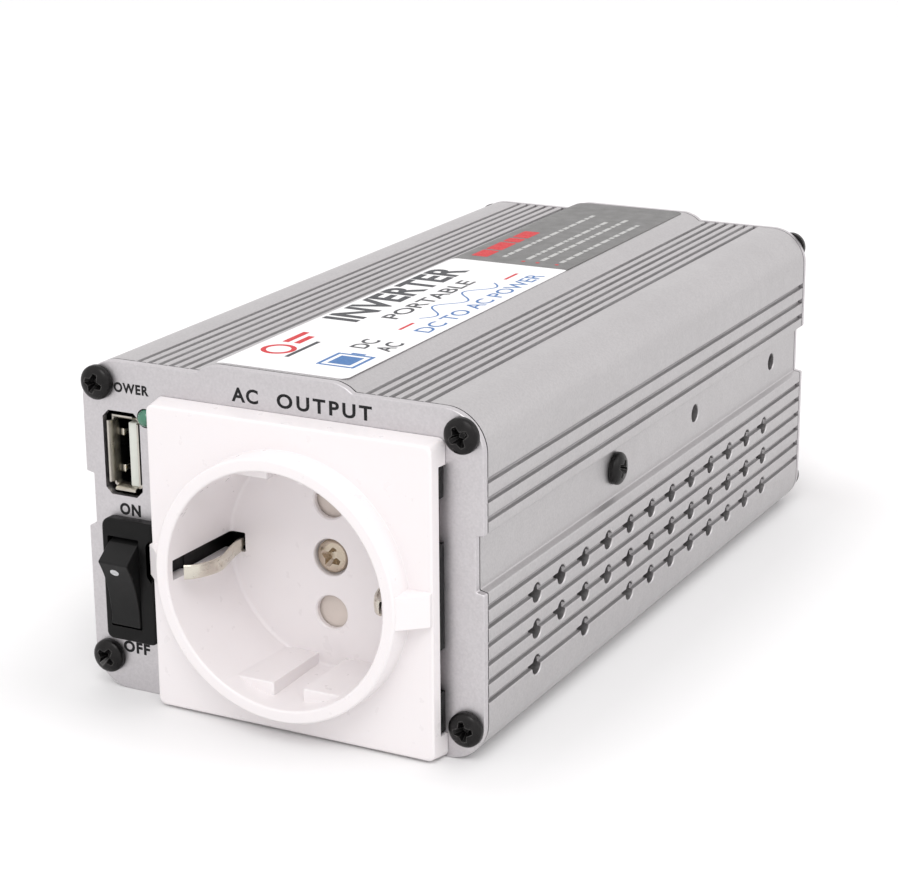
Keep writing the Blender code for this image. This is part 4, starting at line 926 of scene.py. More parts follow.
def screw_copies(master, places, slot, turn=0.0):
    """Puts one screw at each (node, seat point, spin in degrees)."""
    for index, (node, seat, spin) in enumerate(places):
        screw = master if index == 0 else bpy.data.objects.new(f"{node}_fine", master.data)
        if index:
            bpy.context.scene.collection.objects.link(screw)
        screw.name = f"{node}_fine"
        screw.matrix_world = (
            Matrix.Translation(seat)
            @ Matrix.Rotation(turn, 4, "Z")
            @ Matrix.Rotation(math.radians(spin), 4, "Y")
        )
        place(screw, slot, node)


def build_screws():
    spins = (18, 62, 35, 80)
    ends = (
        ("front", FRONT - SEAT_GAP, spins, 0.0),
        ("rear", REAR + SEAT_GAP, spins[::-1], math.pi),
    )
    for end, seat, end_spins, turn in ends:
        master = phillips_screw(f"{end}_panel_screw", PANEL_SCREW, "black_steel")
        screws = [
            (f"{end}_panel_screw_{i}", (p.x, seat, p.z), spin)
            for i, p, spin in zip(range(1, 5), panel_screw_places(end), end_spins)
        ]
        screw_copies(master, screws, "black_steel", turn)
    master = phillips_screw("fan_screw", FAN_SCREW, "black_steel")
    screws = []
    for i in (1, 2):
        middle = middle_of(f"fan_screw_{i}")
        screws.append((f"fan_screw_{i}", (middle.x, REAR + SEAT_GAP, middle.z), 25 * i))
    screw_copies(master, screws, "black_steel", math.pi)
    master = phillips_screw("clamp_screw", CLAMP_SCREW, "black_steel")
    seat = (HALF_WIDTH - CHANNEL_DEPTH + SEAT_GAP, CLAMP_HOLES[0], CLAMP_HEIGHT)
    screw_copies(master, [("side_clamp_screw", seat, 30)], "black_steel", math.pi / 2)
    master = phillips_screw("socket_screw", SOCKET_SCREW, "bright_steel", 1.12)
    seat = (SOCKET.x, SCREW_SEAT - SEAT_GAP, SOCKET.z)
    screw_copies(master, [("socket_centre_screw", seat, 25)], "nickel")


# ---- AC socket


def at_socket(outline):
    """An outline drawn round the socket's axis, in its place."""
    return [(SOCKET.x + x, SOCKET.z + z) for x, z in outline]


def cup_profile():
    """Ring, cup wall, floor and centre boss as one (radius, y) profile."""
    floor_back = CUP_FLOOR + 1.0 * MM
    inside_plate = PLATE_FRONT + 0.8 * MM
    cup, boss, bore = 21.3 * MM, 3.9 * MM, 3.2 * MM
    return rounded(
        [
            (RING_RADIUS + 0.2 * MM, inside_plate, 0),
            (RING_RADIUS + 0.2 * MM, PLATE_FRONT + 0.04 * MM, 0),
            (RING_RADIUS + 0.06 * MM, PLATE_FRONT - 0.08 * MM, 0),
            (RING_RADIUS, PLATE_FRONT - 0.22 * MM, 0),
            (RING_RADIUS, RING_FRONT, 0.4 * MM),
            (MOUTH_RADIUS, RING_FRONT, 0.45 * MM),
            (MOUTH_RADIUS - 0.5 * MM, CUP_FLOOR, 0.7 * MM),
            (bore, CUP_FLOOR, 0.3 * MM),
            (bore, SCREW_SEAT, 0),
            (1.8 * MM, SCREW_SEAT, 0),
            (1.8 * MM, BOSS_END, 0),
            (boss, BOSS_END, 0),
            (boss, floor_back, 0),
            (cup, floor_back, 0),
            (cup, inside_plate, 0),
        ]
    )


def guide_keys():
    """Two ribs at the top and two at the bottom of the cup, with a channel between each pair."""
    flat, inner, outer = 17.4 * MM, 2.75 * MM, MOUTH_RADIUS + 0.6 * MM
    start = math.degrees(math.acos(flat / outer))
    end = math.degrees(math.asin(inner / outer))
    keys = []
    for up in (-1, 1):
        for side in (-1, 1):
            edge = [(side * x, up * z) for x, z in arc((0, 0), outer, 90 - start, 90 - end, 12)]
            edge.append((side * inner, up * flat))
            keys.append(
                prism(at_socket(edge), "y", RING_FRONT + 4.1 * MM, CUP_FLOOR + 0.5 * MM, 0.25 * MM)
            )
    return keys


def plate():
    """The square plate. It widens towards the panel and has a skirt along its edges and corners."""
    rings = []
    for half, y in (
        (PLATE_HALF - 0.50 * MM, PLATE_FRONT),
        (PLATE_HALF - 0.22 * MM, PLATE_FRONT + 0.07 * MM),
        (PLATE_HALF - 0.05 * MM, PLATE_FRONT + 0.25 * MM),
        (PLATE_HALF, PLATE_FRONT + 0.5 * MM),
        (PLATE_BACK_HALF, FRONT - 0.1 * MM),
    ):
        outline = rounded_box(-half, -half, half, half, 1.2 * MM)
        rings.append([(PLATE.x + x, y, PLATE.z + z) for x, z in outline])
    lip, corner, far = PLATE_BACK_HALF - 1.5 * MM, PLATE_BACK_HALF - 4.2 * MM, PLATE_BACK_HALF + MM
    quarter = [(far, corner), (lip, corner), (lip, lip)]
    right = [(x, -z) for x, z in quarter[::-1]] + quarter
    cross = [(PLATE.x + x, PLATE.z + z) for x, z in right + [(-x, z) for x, z in reversed(right)]]
    hollow = prism(cross, "y", PLATE_BACK, FRONT)
    mouth = rod(MOUTH_RADIUS + 0.8 * MM, SOCKET, RING_FRONT - MM, FRONT, 96)
    holed = piece("holed_plate", loft(rings), M["white_plastic"], minus=[hollow, mouth])
    mesh = bmesh.new()
    mesh.from_mesh(holed.data)
    bpy.data.objects.remove(holed, do_unlink=True)
    return mesh


def side_lug(side):
    """A ramp from the ring's front down to the plate's edge."""
    end, ring = 26.2 * MM, RING_RADIUS
    corners = [
        (ring - MM, PLATE_FRONT + 0.5 * MM),
        (ring - MM, RING_FRONT + 0.5 * MM),
        (ring - 0.2 * MM, RING_FRONT + 0.5 * MM),
        (end, PLATE_FRONT - 0.7 * MM),
        (end, PLATE_FRONT + 0.5 * MM),
    ]
    outline = [(SOCKET.x + side * x, y) for x, y in corners]
    return prism(
        outline, "z", SOCKET.z - 2.8 * MM, SOCKET.z + 2.8 * MM, 0.22 * MM, both=True, segments=2
    )


def build_socket_cover():
    slots, pins = [], []
    for side in (-1, 1):
        x, deep, half = SOCKET.x + side * 19.6 * MM, 3.0 * MM, 1.72 * MM
        slot = rounded_box(x - deep, SOCKET.z - half, x + deep, SOCKET.z + half, 0.2 * MM)
        slots.append(prism(slot, "y", RING_FRONT + 1.6 * MM, CUP_FLOOR + 3 * MM))
        hole = [
            (0, CUP_FLOOR - MM),
            (PIN_HOLE + 1.25 * MM, CUP_FLOOR - MM),
            (PIN_HOLE, CUP_FLOOR + 0.25 * MM),
            (PIN_HOLE, CUP_FLOOR + 3 * MM),
            (0, CUP_FLOOR + 3 * MM),
        ]
        pins.append(turned(hole, (SOCKET.x, 0, SOCKET.z + side * PIN_OFFSET), "y", 48))
    cover = piece(
        "socket_cover_moulding",
        turned(cup_profile(), (SOCKET.x, 0, SOCKET.z), "y", 128),
        M["white_plastic"],
        plus=[plate(), side_lug(-1), side_lug(1), *guide_keys()],
        minus=[joined(*pins, *slots)],
    )
    place(soften(cover), "white_plastic", "socket_cover")


def clip_mesh(side):
    """A bent spring strip with a dimple at its crown, in plan from its root to its curled tip."""
    stations = [
        (17.4, 22.5), (17.4, 15.0), (17.4, 10.5), (17.0, 7.0), (16.3, 4.0), (15.55, 1.5),
        (15.3, 0.3), (15.3, -1.0), (15.6, -2.4), (16.3, -4.2), (17.3, -5.7), (18.4, -6.4),
    ]
    path = smooth_path([(radius * MM, y * MM) for radius, y in stations], 5)
    half_width, thickness, columns = 1.2 * MM, 0.5 * MM, 12
    crown = Vector((15.3 * MM, -0.6 * MM))
    rings = []
    for i, point in enumerate(path):
        along = (path[min(i + 1, len(path) - 1)] - path[max(i - 1, 0)]).normalized()
        inward = Vector((along.y, -along.x))
        if inward.x > 0:
            inward = -inward
        ring = []
        for face in (1, -1):
            for k in range(columns + 1):
                share = (k / columns * 2 - 1) * face
                z = half_width * share
                distance = math.hypot((point - crown).length, z)
                dimple = 0.3 * MM * math.exp(-((distance / (0.45 * MM)) ** 2))
                arch = 0.1 * MM * (1 - share * share)
                soft_edge = 0.1 * MM if k in (0, columns) else 0.0
                offset = face * (thickness / 2 - soft_edge) + arch - dimple
                spot = point + inward * offset
                ring.append((SOCKET.x + side * spot.x, FRONT + spot.y, SOCKET.z - 0.35 * MM + z))
        rings.append(ring)
    return loft(rings)


def build_earth_clips():
    for name, side in (("left", -1), ("right", 1)):
        clip = piece(f"earth_spring_{name}", clip_mesh(side), M["nickel"], sharp=50)
        place(clip, "nickel", f"earth_clip_{name}", body=f"{name}_earth_clip")


# ---- switch


def bezel_outline():
    """A rounded rectangle with a shallow finger notch in its right edge."""
    left, right, bottom, top = BEZEL_LOW.x, BEZEL_HIGH.x, BEZEL_LOW.z, BEZEL_HIGH.z
    notch, middle = 0.9 * MM, (bottom + top) / 2
    return rounded(
        [
            (left, bottom, 1.2 * MM),
            (right, bottom, 1.2 * MM),
            (right, middle + 0.6 * MM, 0.3 * MM),
            (right - notch, middle + 1.7 * MM, 0.3 * MM),
            (right - notch, middle + 6.9 * MM, 0.3 * MM),
            (right, middle + 7.9 * MM, 0.3 * MM),
            (right, top, 0.5 * MM),
            (left, top, 1.6 * MM),
        ]
    )


def build_switch():
    low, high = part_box("switch_rocker")
    centre_x = (low.x + high.x) / 2
    half = high.x - centre_x
    pivot = Vector((centre_x, *ROCKER_AXIS))
    left, right = low.x - 0.25 * MM, high.x + 0.25 * MM
    front = FRONT - 2.0 * MM
    body = box(
        (BEZEL_LOW.x + 0.55 * MM, FRONT - 0.6 * MM, BEZEL_LOW.z + 1.05 * MM),
        (BEZEL_HIGH.x - 1.45 * MM, BEZEL_HIGH.y, BEZEL_HIGH.z - 1.05 * MM),
    )
    bottom, top = pivot.z - WINDOW_HALF_HEIGHT, pivot.z + WINDOW_HALF_HEIGHT
    window = rounded_box(left, bottom, right, top, 0.3 * MM)
    well = box(
        (left, FRONT - 0.8 * MM, pivot.z - WELL_HALF_HEIGHT),
        (right, FRONT + 8.0 * MM, pivot.z + WELL_HALF_HEIGHT),
    )
    housing = piece(
        "switch_bezel",
        prism(bezel_outline(), "y", front, FRONT - 0.1 * MM, 0.45 * MM, segments=4),
        M["black_plastic"],
        plus=[body],
        minus=[prism(window, "y", front - MM, FRONT + 8.0 * MM), well],
    )
    place(soften(housing), "black_plastic", "switch_housing")
    build_rocker(pivot, half)


def build_rocker(pivot, half):
    """A dished rocker, tilted to OFF, with a white dot on its raised end."""
    tilt = Matrix.Rotation(ROCKER_TILT, 2)
    reach, end_height, dish = 6.57 * MM, 6.28 * MM, 0.95 * MM
    face = [
        (dish - reach - dish * (i / 10) ** 2, end_height * i / 10, 0.0) for i in range(-9, 10)
    ]
    end = [
        (-reach, end_height, 0.35 * MM),
        (-2.65 * MM, 7.97 * MM, 0.8 * MM),
        (-0.2 * MM, 8.2 * MM, 0.3 * MM),
        (0.6 * MM, 7.6 * MM, 0.2 * MM),
        (0.6 * MM, 2.0 * MM, 0.2 * MM),
        (2.3 * MM, 1.2 * MM, 0.2 * MM),
    ]
    outline = rounded(face + end + [(y, -z, radius) for y, z, radius in reversed(end)])
    turned_outline = [tilt @ Vector(point) for point in outline]
    outline = [(pivot.y + p.x, pivot.z + p.y) for p in turned_outline]
    rocker = piece(
        "rocker_key",
        prism(outline, "x", pivot.x - half, pivot.x + half, 0.2 * MM, both=True),
        M["rocker_black"],
    )
    place(soften(rocker), "rocker_black", "switch_rocker", body="rocker")
    height = 4.18 * MM
    share = height / end_height
    distance = dish - reach - dish * share * share
    slope = math.atan(2 * dish * share / end_height)
    angles = [math.tau * i / 32 for i in range(32)]
    oval = [(0.85 * MM * math.cos(a), 0.66 * MM * math.sin(a)) for a in angles]
    dot = prism(oval, "y", -0.04 * MM, 0.3 * MM, 0.02 * MM, segments=1)
    spot = tilt @ Vector((distance, height))
    matrix = (
        Matrix.Translation((pivot.x - 0.3 * MM, pivot.y + spot.x, pivot.z + spot.y))
        @ Matrix.Rotation(ROCKER_TILT + slope, 4, "X")
    )
    bmesh.ops.transform(dot, matrix=matrix, verts=dot.verts)
    place(piece("rocker_dot", dot, M["ink_dot"]), "rocker_black", body="rocker")


# ---- USB outlet and light


def usb_tube(inset, end):
    """A flattened tube, wider at its mouth, from in front of the panel back to end."""
    centre = (SHELL_LOW + SHELL_HIGH) / 2
    flare = ((0.4, 0.5, 0.3), (0.2, 0.3, 0.55), (0.05, 0.1, 1.0), (0.0, 0.0, 1.8))
    stations = [(x * MM, z * MM, FRONT + y * MM) for x, z, y in flare] + [(0.0, 0.0, end)]
    rings = []
    for wider, taller, y in stations:
        half_x, half_z = USB_TUBE[0] + wider - inset, USB_TUBE[1] + taller - inset
        outline = rounded_box(-half_x, -half_z, half_x, half_z, 0.5 * MM)
        rings.append([(centre.x + x, y, centre.z + z) for x, z in outline])
    return rings


def build_usb_shell():
    """A metal tube with cut corners at its mouth and two springs on its left wall."""
    centre, back, wall = (SHELL_LOW + SHELL_HIGH) / 2, SHELL_HIGH.y, 0.3 * MM
    inner = usb_tube(wall, back - 0.8 * MM)
    hollow = loft([[(x, y - 0.2 * MM, z) for x, y, z in inner[0]]] + inner)
    cut, past = 1.15 * MM, 0.4 * MM
    corner_cuts = [
        box((x - cut, FRONT - MM, z - cut), (x + cut, FRONT + 1.3 * MM, z + cut))
        for x in (centre.x - USB_TUBE[0] - past, centre.x + USB_TUBE[0] + past)
        for z in (centre.z - USB_TUBE[1] - past, centre.z + USB_TUBE[1] + past)
    ]
    cuts = [hollow, joined(*corner_cuts)]
    shell = piece("usb_metal_shell", loft(usb_tube(0.0, back)), M["usb_steel"], minus=cuts)
    place(shell, "nickel", "usb_shell")
    left = centre.x - USB_TUBE[0]
    bumps = []
    for height in (2.75 * MM, -3.65 * MM):
        low = (left + 0.1 * MM, FRONT + 3.0 * MM, centre.z + height - 0.7 * MM)
        high = (left + 1.1 * MM, FRONT + 4.6 * MM, centre.z + height + 0.7 * MM)
        bumps.append(box(low, high, 0.3 * MM, 3))
    place(piece("usb_shell_springs", joined(*bumps), M["nickel"]), "nickel")


def build_usb_tongue():
    low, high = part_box("usb_tongue")
    tongue = piece("usb_tongue_moulding", box(low, high, 0.25 * MM, 3), M["tongue_white"])
    place(tongue, "white_plastic", "usb_tongue")
    middle = (SHELL_LOW.z + SHELL_HIGH.z) / 2
    strips = []
    for height in (-4.0 * MM, -1.5 * MM, 1.0 * MM, 3.5 * MM):
        start = (low.x - 0.06 * MM, low.y + 0.6 * MM, middle + height - 0.5 * MM)
        end = (low.x + 0.2 * MM, high.y - 1.0 * MM, middle + height + 0.5 * MM)
        strips.append(box(start, end, 0.05 * MM))
    place(piece("usb_contact_strips", joined(*strips), M["gold"]), "brass")


def build_led():
    low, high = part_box("power_led")
    radius, rim = 1.45 * MM, high.x - LED.x
    dome = [
        (radius * math.sin(a), low.y + 1.3 * MM * (1 - math.cos(a)))
        for a in (math.radians(10 * i) for i in range(10))
    ]
    flange = FRONT + 1.5 * MM
    profile = dome + [(radius, flange), (rim, flange), (rim, high.y), (0, high.y)]
    lens = piece("power_light_lens", turned(profile, (LED.x, 0, LED.z), "y", 48), M["led_green"])
    place(lens, "led_green", "power_led")


# ---- rear end


def build_fan_frame():
    half = (FAN_HIGH.x - FAN_LOW.x) / 2
    front, back = FAN_LOW.y, FAN_HIGH.y
    outline = rounded_box(FAN.x - half, FAN.z - half, FAN.x + half, FAN.z + half, 2.6 * MM)
    duct = turned(
        [
            (0, front + 1.2 * MM), (19.0 * MM, front + 1.2 * MM), (19.0 * MM, back - 0.8 * MM),
            (19.7 * MM, back + 0.2 * MM), (19.7 * MM, back + MM), (0, back + MM),
        ],
        (FAN.x, 0, FAN.z), "y", 96,
    )
    openings = []
    for quarter in range(4):
        inner, outer, strut = 11.0 * MM, 18.4 * MM, 1.3 * MM
        first = math.degrees(math.asin(strut / inner)) + 45
        last = math.degrees(math.asin(strut / outer)) + 45
        start = 90 * quarter
        edge = arc((FAN.x, FAN.z), inner, start + first, start + 180 - first, 14)
        edge += arc((FAN.x, FAN.z), outer, start + 180 - last, start + last, 18)
        openings.append(prism(edge, "y", front - MM, front + 2.0 * MM))
    holes = [
        rod(1.75 * MM, (FAN.x + dx, 0, FAN.z + dz), front - MM, back + MM, 24)
        for dx in (-FAN_SCREW_OFFSET, FAN_SCREW_OFFSET)
        for dz in (-FAN_SCREW_OFFSET, FAN_SCREW_OFFSET)
    ]
    body = piece(
        "fan_housing",
        prism(outline, "y", front, back, 0.3 * MM, both=True),
        M["black_plastic"],
        minus=[duct, joined(*openings), joined(*holes)],
    )
    place(soften(body), "black_plastic", "fan_frame")


def fan_blade(index, blades, start, end):
    """A twisted blade: wider and flatter at its tip, and rooted inside the hub."""
    sections, columns = 8, 8
    root, tip = 10.6, 18.3
    rings = []
    for i in range(sections + 1):
        share = i / sections
        radius = (root + (tip - root) * share) * MM
        sweep = math.radians(40 - 4 * share)
        lean = math.radians(7) * share
        thickness = (0.95 - 0.35 * share) * MM
        inset = 0.9 * MM * (1 - share) ** 2
        front_edge, back_edge = [], []
        for k in range(columns + 1):
            t = k / columns
            angle = math.tau * index / blades + sweep * (t - 0.5) + lean
            y = start + inset + (end - start - 2 * inset) * (t - 0.10 * math.sin(math.pi * t))
            fade = math.sqrt(max(0.0, math.sin(math.pi * (0.06 + 0.88 * t))))
            turn = thickness / 2 * fade / radius
            for edge, sign in ((front_edge, -1), (back_edge, 1)):
                a = angle + sign * turn
                x, z = FAN.x + radius * math.cos(a), FAN.z + radius * math.sin(a)
                edge.append((x, y - sign * thickness * fade * 0.45, z))
        rings.append(front_edge + back_edge[::-1])
    return loft(rings)


def build_fan_rotor():
    low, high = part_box("fan_rotor")
    start, end = low.y, high.y
    hub, dished = 11.2 * MM, end - 0.25 * MM
    profile = rounded(
        [
            (0, start, 0), (hub, start, 0.3 * MM), (hub, end, 1.0 * MM),
            (8.5 * MM, end, 0.3 * MM), (8.3 * MM, dished, 0.2 * MM), (0, dished, 0),
        ]
    )
    blades = 7
    rotor = piece(
        "fan_impeller",
        turned(profile, (FAN.x, 0, FAN.z), "y", 64),
        M["black_plastic"],
        plus=[fan_blade(i, blades, start + 0.3 * MM, end - 0.6 * MM) for i in range(blades)],
        sharp=40,
    )
    place(rotor, "black_plastic", "fan_rotor", body="fan_blades")


def fluted_ring(centre_z, radius, depth, y):
    """A circle round a terminal with shallow flutes of a given depth."""
    flutes, count = 18, 108
    points = []
    for i in range(count):
        angle = math.tau * i / count
        valley = 0.5 - 0.5 * math.cos(angle * flutes)
        r = radius - depth * valley**1.6
        points.append((TERMINAL_X + r * math.cos(angle), y, centre_z + r * math.sin(angle)))
    return points


def knob_mesh(z, start, end):
    levels = (
        (5.0, 0.0, 0.0), (5.6, 0.15, 0.35), (6.25, 0.45, 1.1), (6.4, 0.5, 1.8),
        (6.4, 0.5, 11.2), (6.3, 0.48, 11.9), (5.95, 0.3, 12.5), (5.4, 0.05, 12.9), (4.9, 0.0, 13.0),
    )
    scale = (end - start) / (13.0 * MM)
    rings = []
    for radius, depth, y in levels:
        rings.append(fluted_ring(z, radius * MM, depth * MM, start + y * MM * scale))
    return loft(rings)


def thread(start, end):
    """Profile points of the ridges from start up to end."""
    ridges, y = [], start
    while y < end:
        ridges += [(THREAD_ROOT, y), (THREAD_CREST, y + 0.2 * MM), (THREAD_ROOT, y + 0.4 * MM)]
        y += THREAD_PITCH
    return ridges


def collar_profile(low, high):
    """An insulating bush: a sleeve through the panel and a flange with a raised rim behind it."""
    sleeve, flange, rim, dish = 4.05 * MM, 7.0 * MM, 5.9 * MM, 5.7 * MM
    seat, floor = REAR + SEAT_GAP, high.y - 0.3 * MM
    return rounded(
        [
            (TERMINAL_BORE, low.y, 0), (sleeve, low.y, 0.2 * MM), (sleeve, seat, 0),
            (flange, seat, 0.15 * MM), (flange, high.y, 0.6 * MM), (rim, high.y, 0.2 * MM),
            (dish, floor, 0.1 * MM), (TERMINAL_BORE, floor, 0),
        ]
    )


def stud_profile(low, high):
    """A threaded stud with a nut inside the panel."""
    nut, nut_start, nut_end = 5.0 * MM, REAR - 6.5 * MM, REAR - 2.8 * MM
    return [
        (0, low.y), (2.0 * MM, low.y),
        *thread(low.y + 0.3 * MM, nut_start - 0.1 * MM),
        (THREAD_ROOT, nut_start), (nut, nut_start), (nut, nut_end), (THREAD_ROOT, nut_end),
        *thread(nut_end + 0.1 * MM, high.y - 0.9 * MM),
        (1.9 * MM, high.y), (0, high.y),
    ]


def washer_profile(low, high):
    edge = 5.5 * MM
    return rounded(
        [
            (TERMINAL_BORE, low.y, 0.1 * MM), (edge, low.y, 0.2 * MM),
            (edge, high.y, 0.2 * MM), (TERMINAL_BORE, high.y, 0.1 * MM),
        ]
    )


def build_knob(colour, centre, finish_name):
    node = f"terminal_knob_{colour}"
    low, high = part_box(node)
    bore = rod(TERMINAL_BORE, centre, low.y - MM, high.y - 1.8 * MM)
    above, floor = high.y + MM, high.y - 0.35 * MM
    dish = turned([(0, above), (4.0 * MM, above), (3.7 * MM, floor), (0, floor)], centre)
    grip = knob_mesh(centre[2], low.y, high.y)
    knob = piece(f"knob_grip_{colour}", grip, M[finish_name], minus=[bore, dish], sharp=45)
    place(knob, finish_name, node, body=f"{colour}_knob")


def build_terminals():
    for colour, z in TERMINALS.items():
        centre = (TERMINAL_X, 0, z)
        finish_name = "terminal_red" if colour == "red" else "black_plastic"
        parts = (
            ("terminal_collar", "terminal_bush", collar_profile, 64, finish_name, MAIN_BODY),
            ("terminal_thread", "terminal_stud", stud_profile, 48, "brass", MAIN_BODY),
            ("washer_disc", "terminal_washer", washer_profile, 64, "nickel", f"{colour}_washer"),
        )
        for name, kind, profile, segments, part_finish, body in parts:
            node = f"{kind}_{colour}"
            mesh = turned(profile(*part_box(node)), centre, "y", segments)
            place(piece(f"{name}_{colour}", mesh, M[part_finish]), part_finish, node, body=body)
        build_knob(colour, centre, finish_name)


# ---- printing


LABEL_MATRIX = Matrix.Translation((LABEL_X, 0, 0)) @ Matrix.Rotation(LABEL_SKEW, 4, "Z")
LABEL_TOP = PLATEAU_TOP + 0.12 * MM


def letters(words, width, height, weight, spacing=1.0):
    """Thin raised letters that fill width by height round the origin, in the XY plane."""
    curve = bpy.data.curves.new("letters", "FONT")
    curve.body = words
    curve.size = 1.0
    curve.offset = weight
    curve.space_character = spacing
    curve.extrude = 0.5
    curve.resolution_u = 4
    obj = bpy.data.objects.new("letters", curve)
    bpy.context.scene.collection.objects.link(obj)
    graph = bpy.context.evaluated_depsgraph_get()
    mesh = bpy.data.meshes.new_from_object(obj.evaluated_get(graph))
    bm = bmesh.new()
    bm.from_mesh(mesh)
    bpy.data.objects.remove(obj, do_unlink=True)
    bpy.data.meshes.remove(mesh)
    xs = [v.co.x for v in bm.verts]
    ys = [v.co.y for v in bm.verts]
    centre = Vector(((min(xs) + max(xs)) / 2, (min(ys) + max(ys)) / 2, 0))
    scale = (width / (max(xs) - min(xs)), height / (max(ys) - min(ys)), INK_THICKNESS)
    bmesh.ops.translate(bm, verts=bm.verts, vec=-centre)
    bmesh.ops.scale(bm, verts=bm.verts, vec=scale)
    bmesh.ops.remove_doubles(bm, verts=bm.verts, dist=1e-7)
    return bm


def panel_words(words, x0, x1, z0, z1, weight, spacing):
    """Words on the front panel, in millimetres of the CAD frame."""
    bm = letters(words, (x1 - x0) * MM, (z1 - z0) * MM, weight, spacing)
    matrix = (
        Matrix.Translation(((x0 + x1) / 2 * MM, FRONT, (z0 + z1) / 2 * MM))
        @ Matrix.Rotation(math.pi / 2, 4, "X")
    )
    bmesh.ops.transform(bm, matrix=matrix, verts=bm.verts)
    return bm


def label_words(words, along0, along1, across0, across1, weight):
    """Words on the label, in millimetres of its own frame: read along +Y, with their tops at -X."""
    bm = letters(words, (along1 - along0) * MM, (across1 - across0) * MM, weight)
    centre = ((across0 + across1) / 2 * MM, (along0 + along1) / 2 * MM, LABEL_TOP)
    matrix = Matrix.Translation(centre) @ Matrix.Rotation(math.pi / 2, 4, "Z")
    bmesh.ops.transform(bm, matrix=matrix, verts=bm.verts)
    return bm


def label_shape(outline):
    """A film of ink on the label, from an (across, along) outline."""
    return prism(outline, "z", LABEL_TOP - INK_THICKNESS / 2, LABEL_TOP + INK_THICKNESS / 2)


def label_block(along0, along1, across0, across1, radius=0.1):
    """A printed bar on the label."""
    radius = min(radius, (along1 - along0) * 0.45, (across1 - across0) * 0.45) * MM
    return label_shape(
        rounded_box(across0 * MM, along0 * MM, across1 * MM, along1 * MM, radius)
    )


def label_line(points, width):
    """A printed line along (along, across) points."""
    path = [Vector((across * MM, along * MM)) for along, across in points]
    left, right = [], []
    for i, point in enumerate(path):
        direction = (path[min(i + 1, len(path) - 1)] - path[max(i - 1, 0)]).normalized()
        side = Vector((-direction.y, direction.x)) * width * MM / 2
        left.append(tuple(point + side))
        right.append(tuple(point - side))
    return label_shape(left + right[::-1])


def label_disc(along, across, outer, inner=0.0):
    """A printed dot on the label, or a ring."""
    centre = (across * MM, along * MM, LABEL_TOP)
    low, high = -INK_THICKNESS / 2, INK_THICKNESS / 2
    profile = [(inner * MM, low), (outer * MM, low), (outer * MM, high), (inner * MM, high)]
    return turned(profile, centre, "z", 40)


def print_on_label(name, finish_name, *meshes):
    obj = piece(name, joined(*meshes), M[finish_name])
    obj.matrix_world = LABEL_MATRIX
    place(obj, "label_film")


def build_label():
    """A thin sheet that lies on the plateau and bends down its shoulders."""
    half_width, half_length, thickness = LABEL_HALF_WIDTH, CASE_END - 0.6 * MM, 0.1 * MM
    corner = 1.2 * MM
    gap = 0.02 * MM
    columns = [-half_width + 2 * half_width * i / 40 for i in range(41)]

    def surface(x):
        over = max(0.0, abs(x + LABEL_X) - 11.0 * MM)
        return PLATEAU_TOP + gap - 0.11 * over**2 / MM

    def end(x):
        over = abs(x) - (half_width - corner)
        return half_length - (corner - math.sqrt(corner**2 - over**2) if over > 0 else 0.0)

    bm = bmesh.new()
    rows = 24
    top, low = [], []
    for x in columns:
        stretch = [end(x) * (2 * j / rows - 1) for j in range(rows + 1)]
        top.append([bm.verts.new((x, y, surface(x) + thickness)) for y in stretch])
        low.append([bm.verts.new((x, y, surface(x))) for y in stretch])
    last = len(columns) - 1
    for i in range(last):
        for j in range(rows):
            bm.faces.new((top[i][j], top[i + 1][j], top[i + 1][j + 1], top[i][j + 1]))
            bm.faces.new((low[i][j], low[i][j + 1], low[i + 1][j + 1], low[i + 1][j]))
        for j in (0, rows):
            bm.faces.new((top[i][j], low[i][j], low[i + 1][j], top[i + 1][j]))
    for j in range(rows):
        for i in (0, last):
            bm.faces.new((top[i][j], top[i][j + 1], low[i][j + 1], low[i][j]))
    bmesh.ops.recalc_face_normals(bm, faces=bm.faces)
    label = piece("label_sheet", bm, M["label_film"])
    label.matrix_world = LABEL_MATRIX
    place(label, "label_film", "top_label")


def dashes():
    """Rows of uneven bars that stand for small print."""
    blocks = []
    for row, across in enumerate((-3.1, 1.9, 4.9, 8.9)):
        along = 17.5
        for k in range(14):
            length = 1.4 + (k * 5 + row * 3) % 4 * 0.7
            if along + length > 62 - 6 * (row % 2):
                break
            blocks.append(label_block(along, along + length, across - 0.45, across + 0.45))
            along += length + 0.7
    return blocks


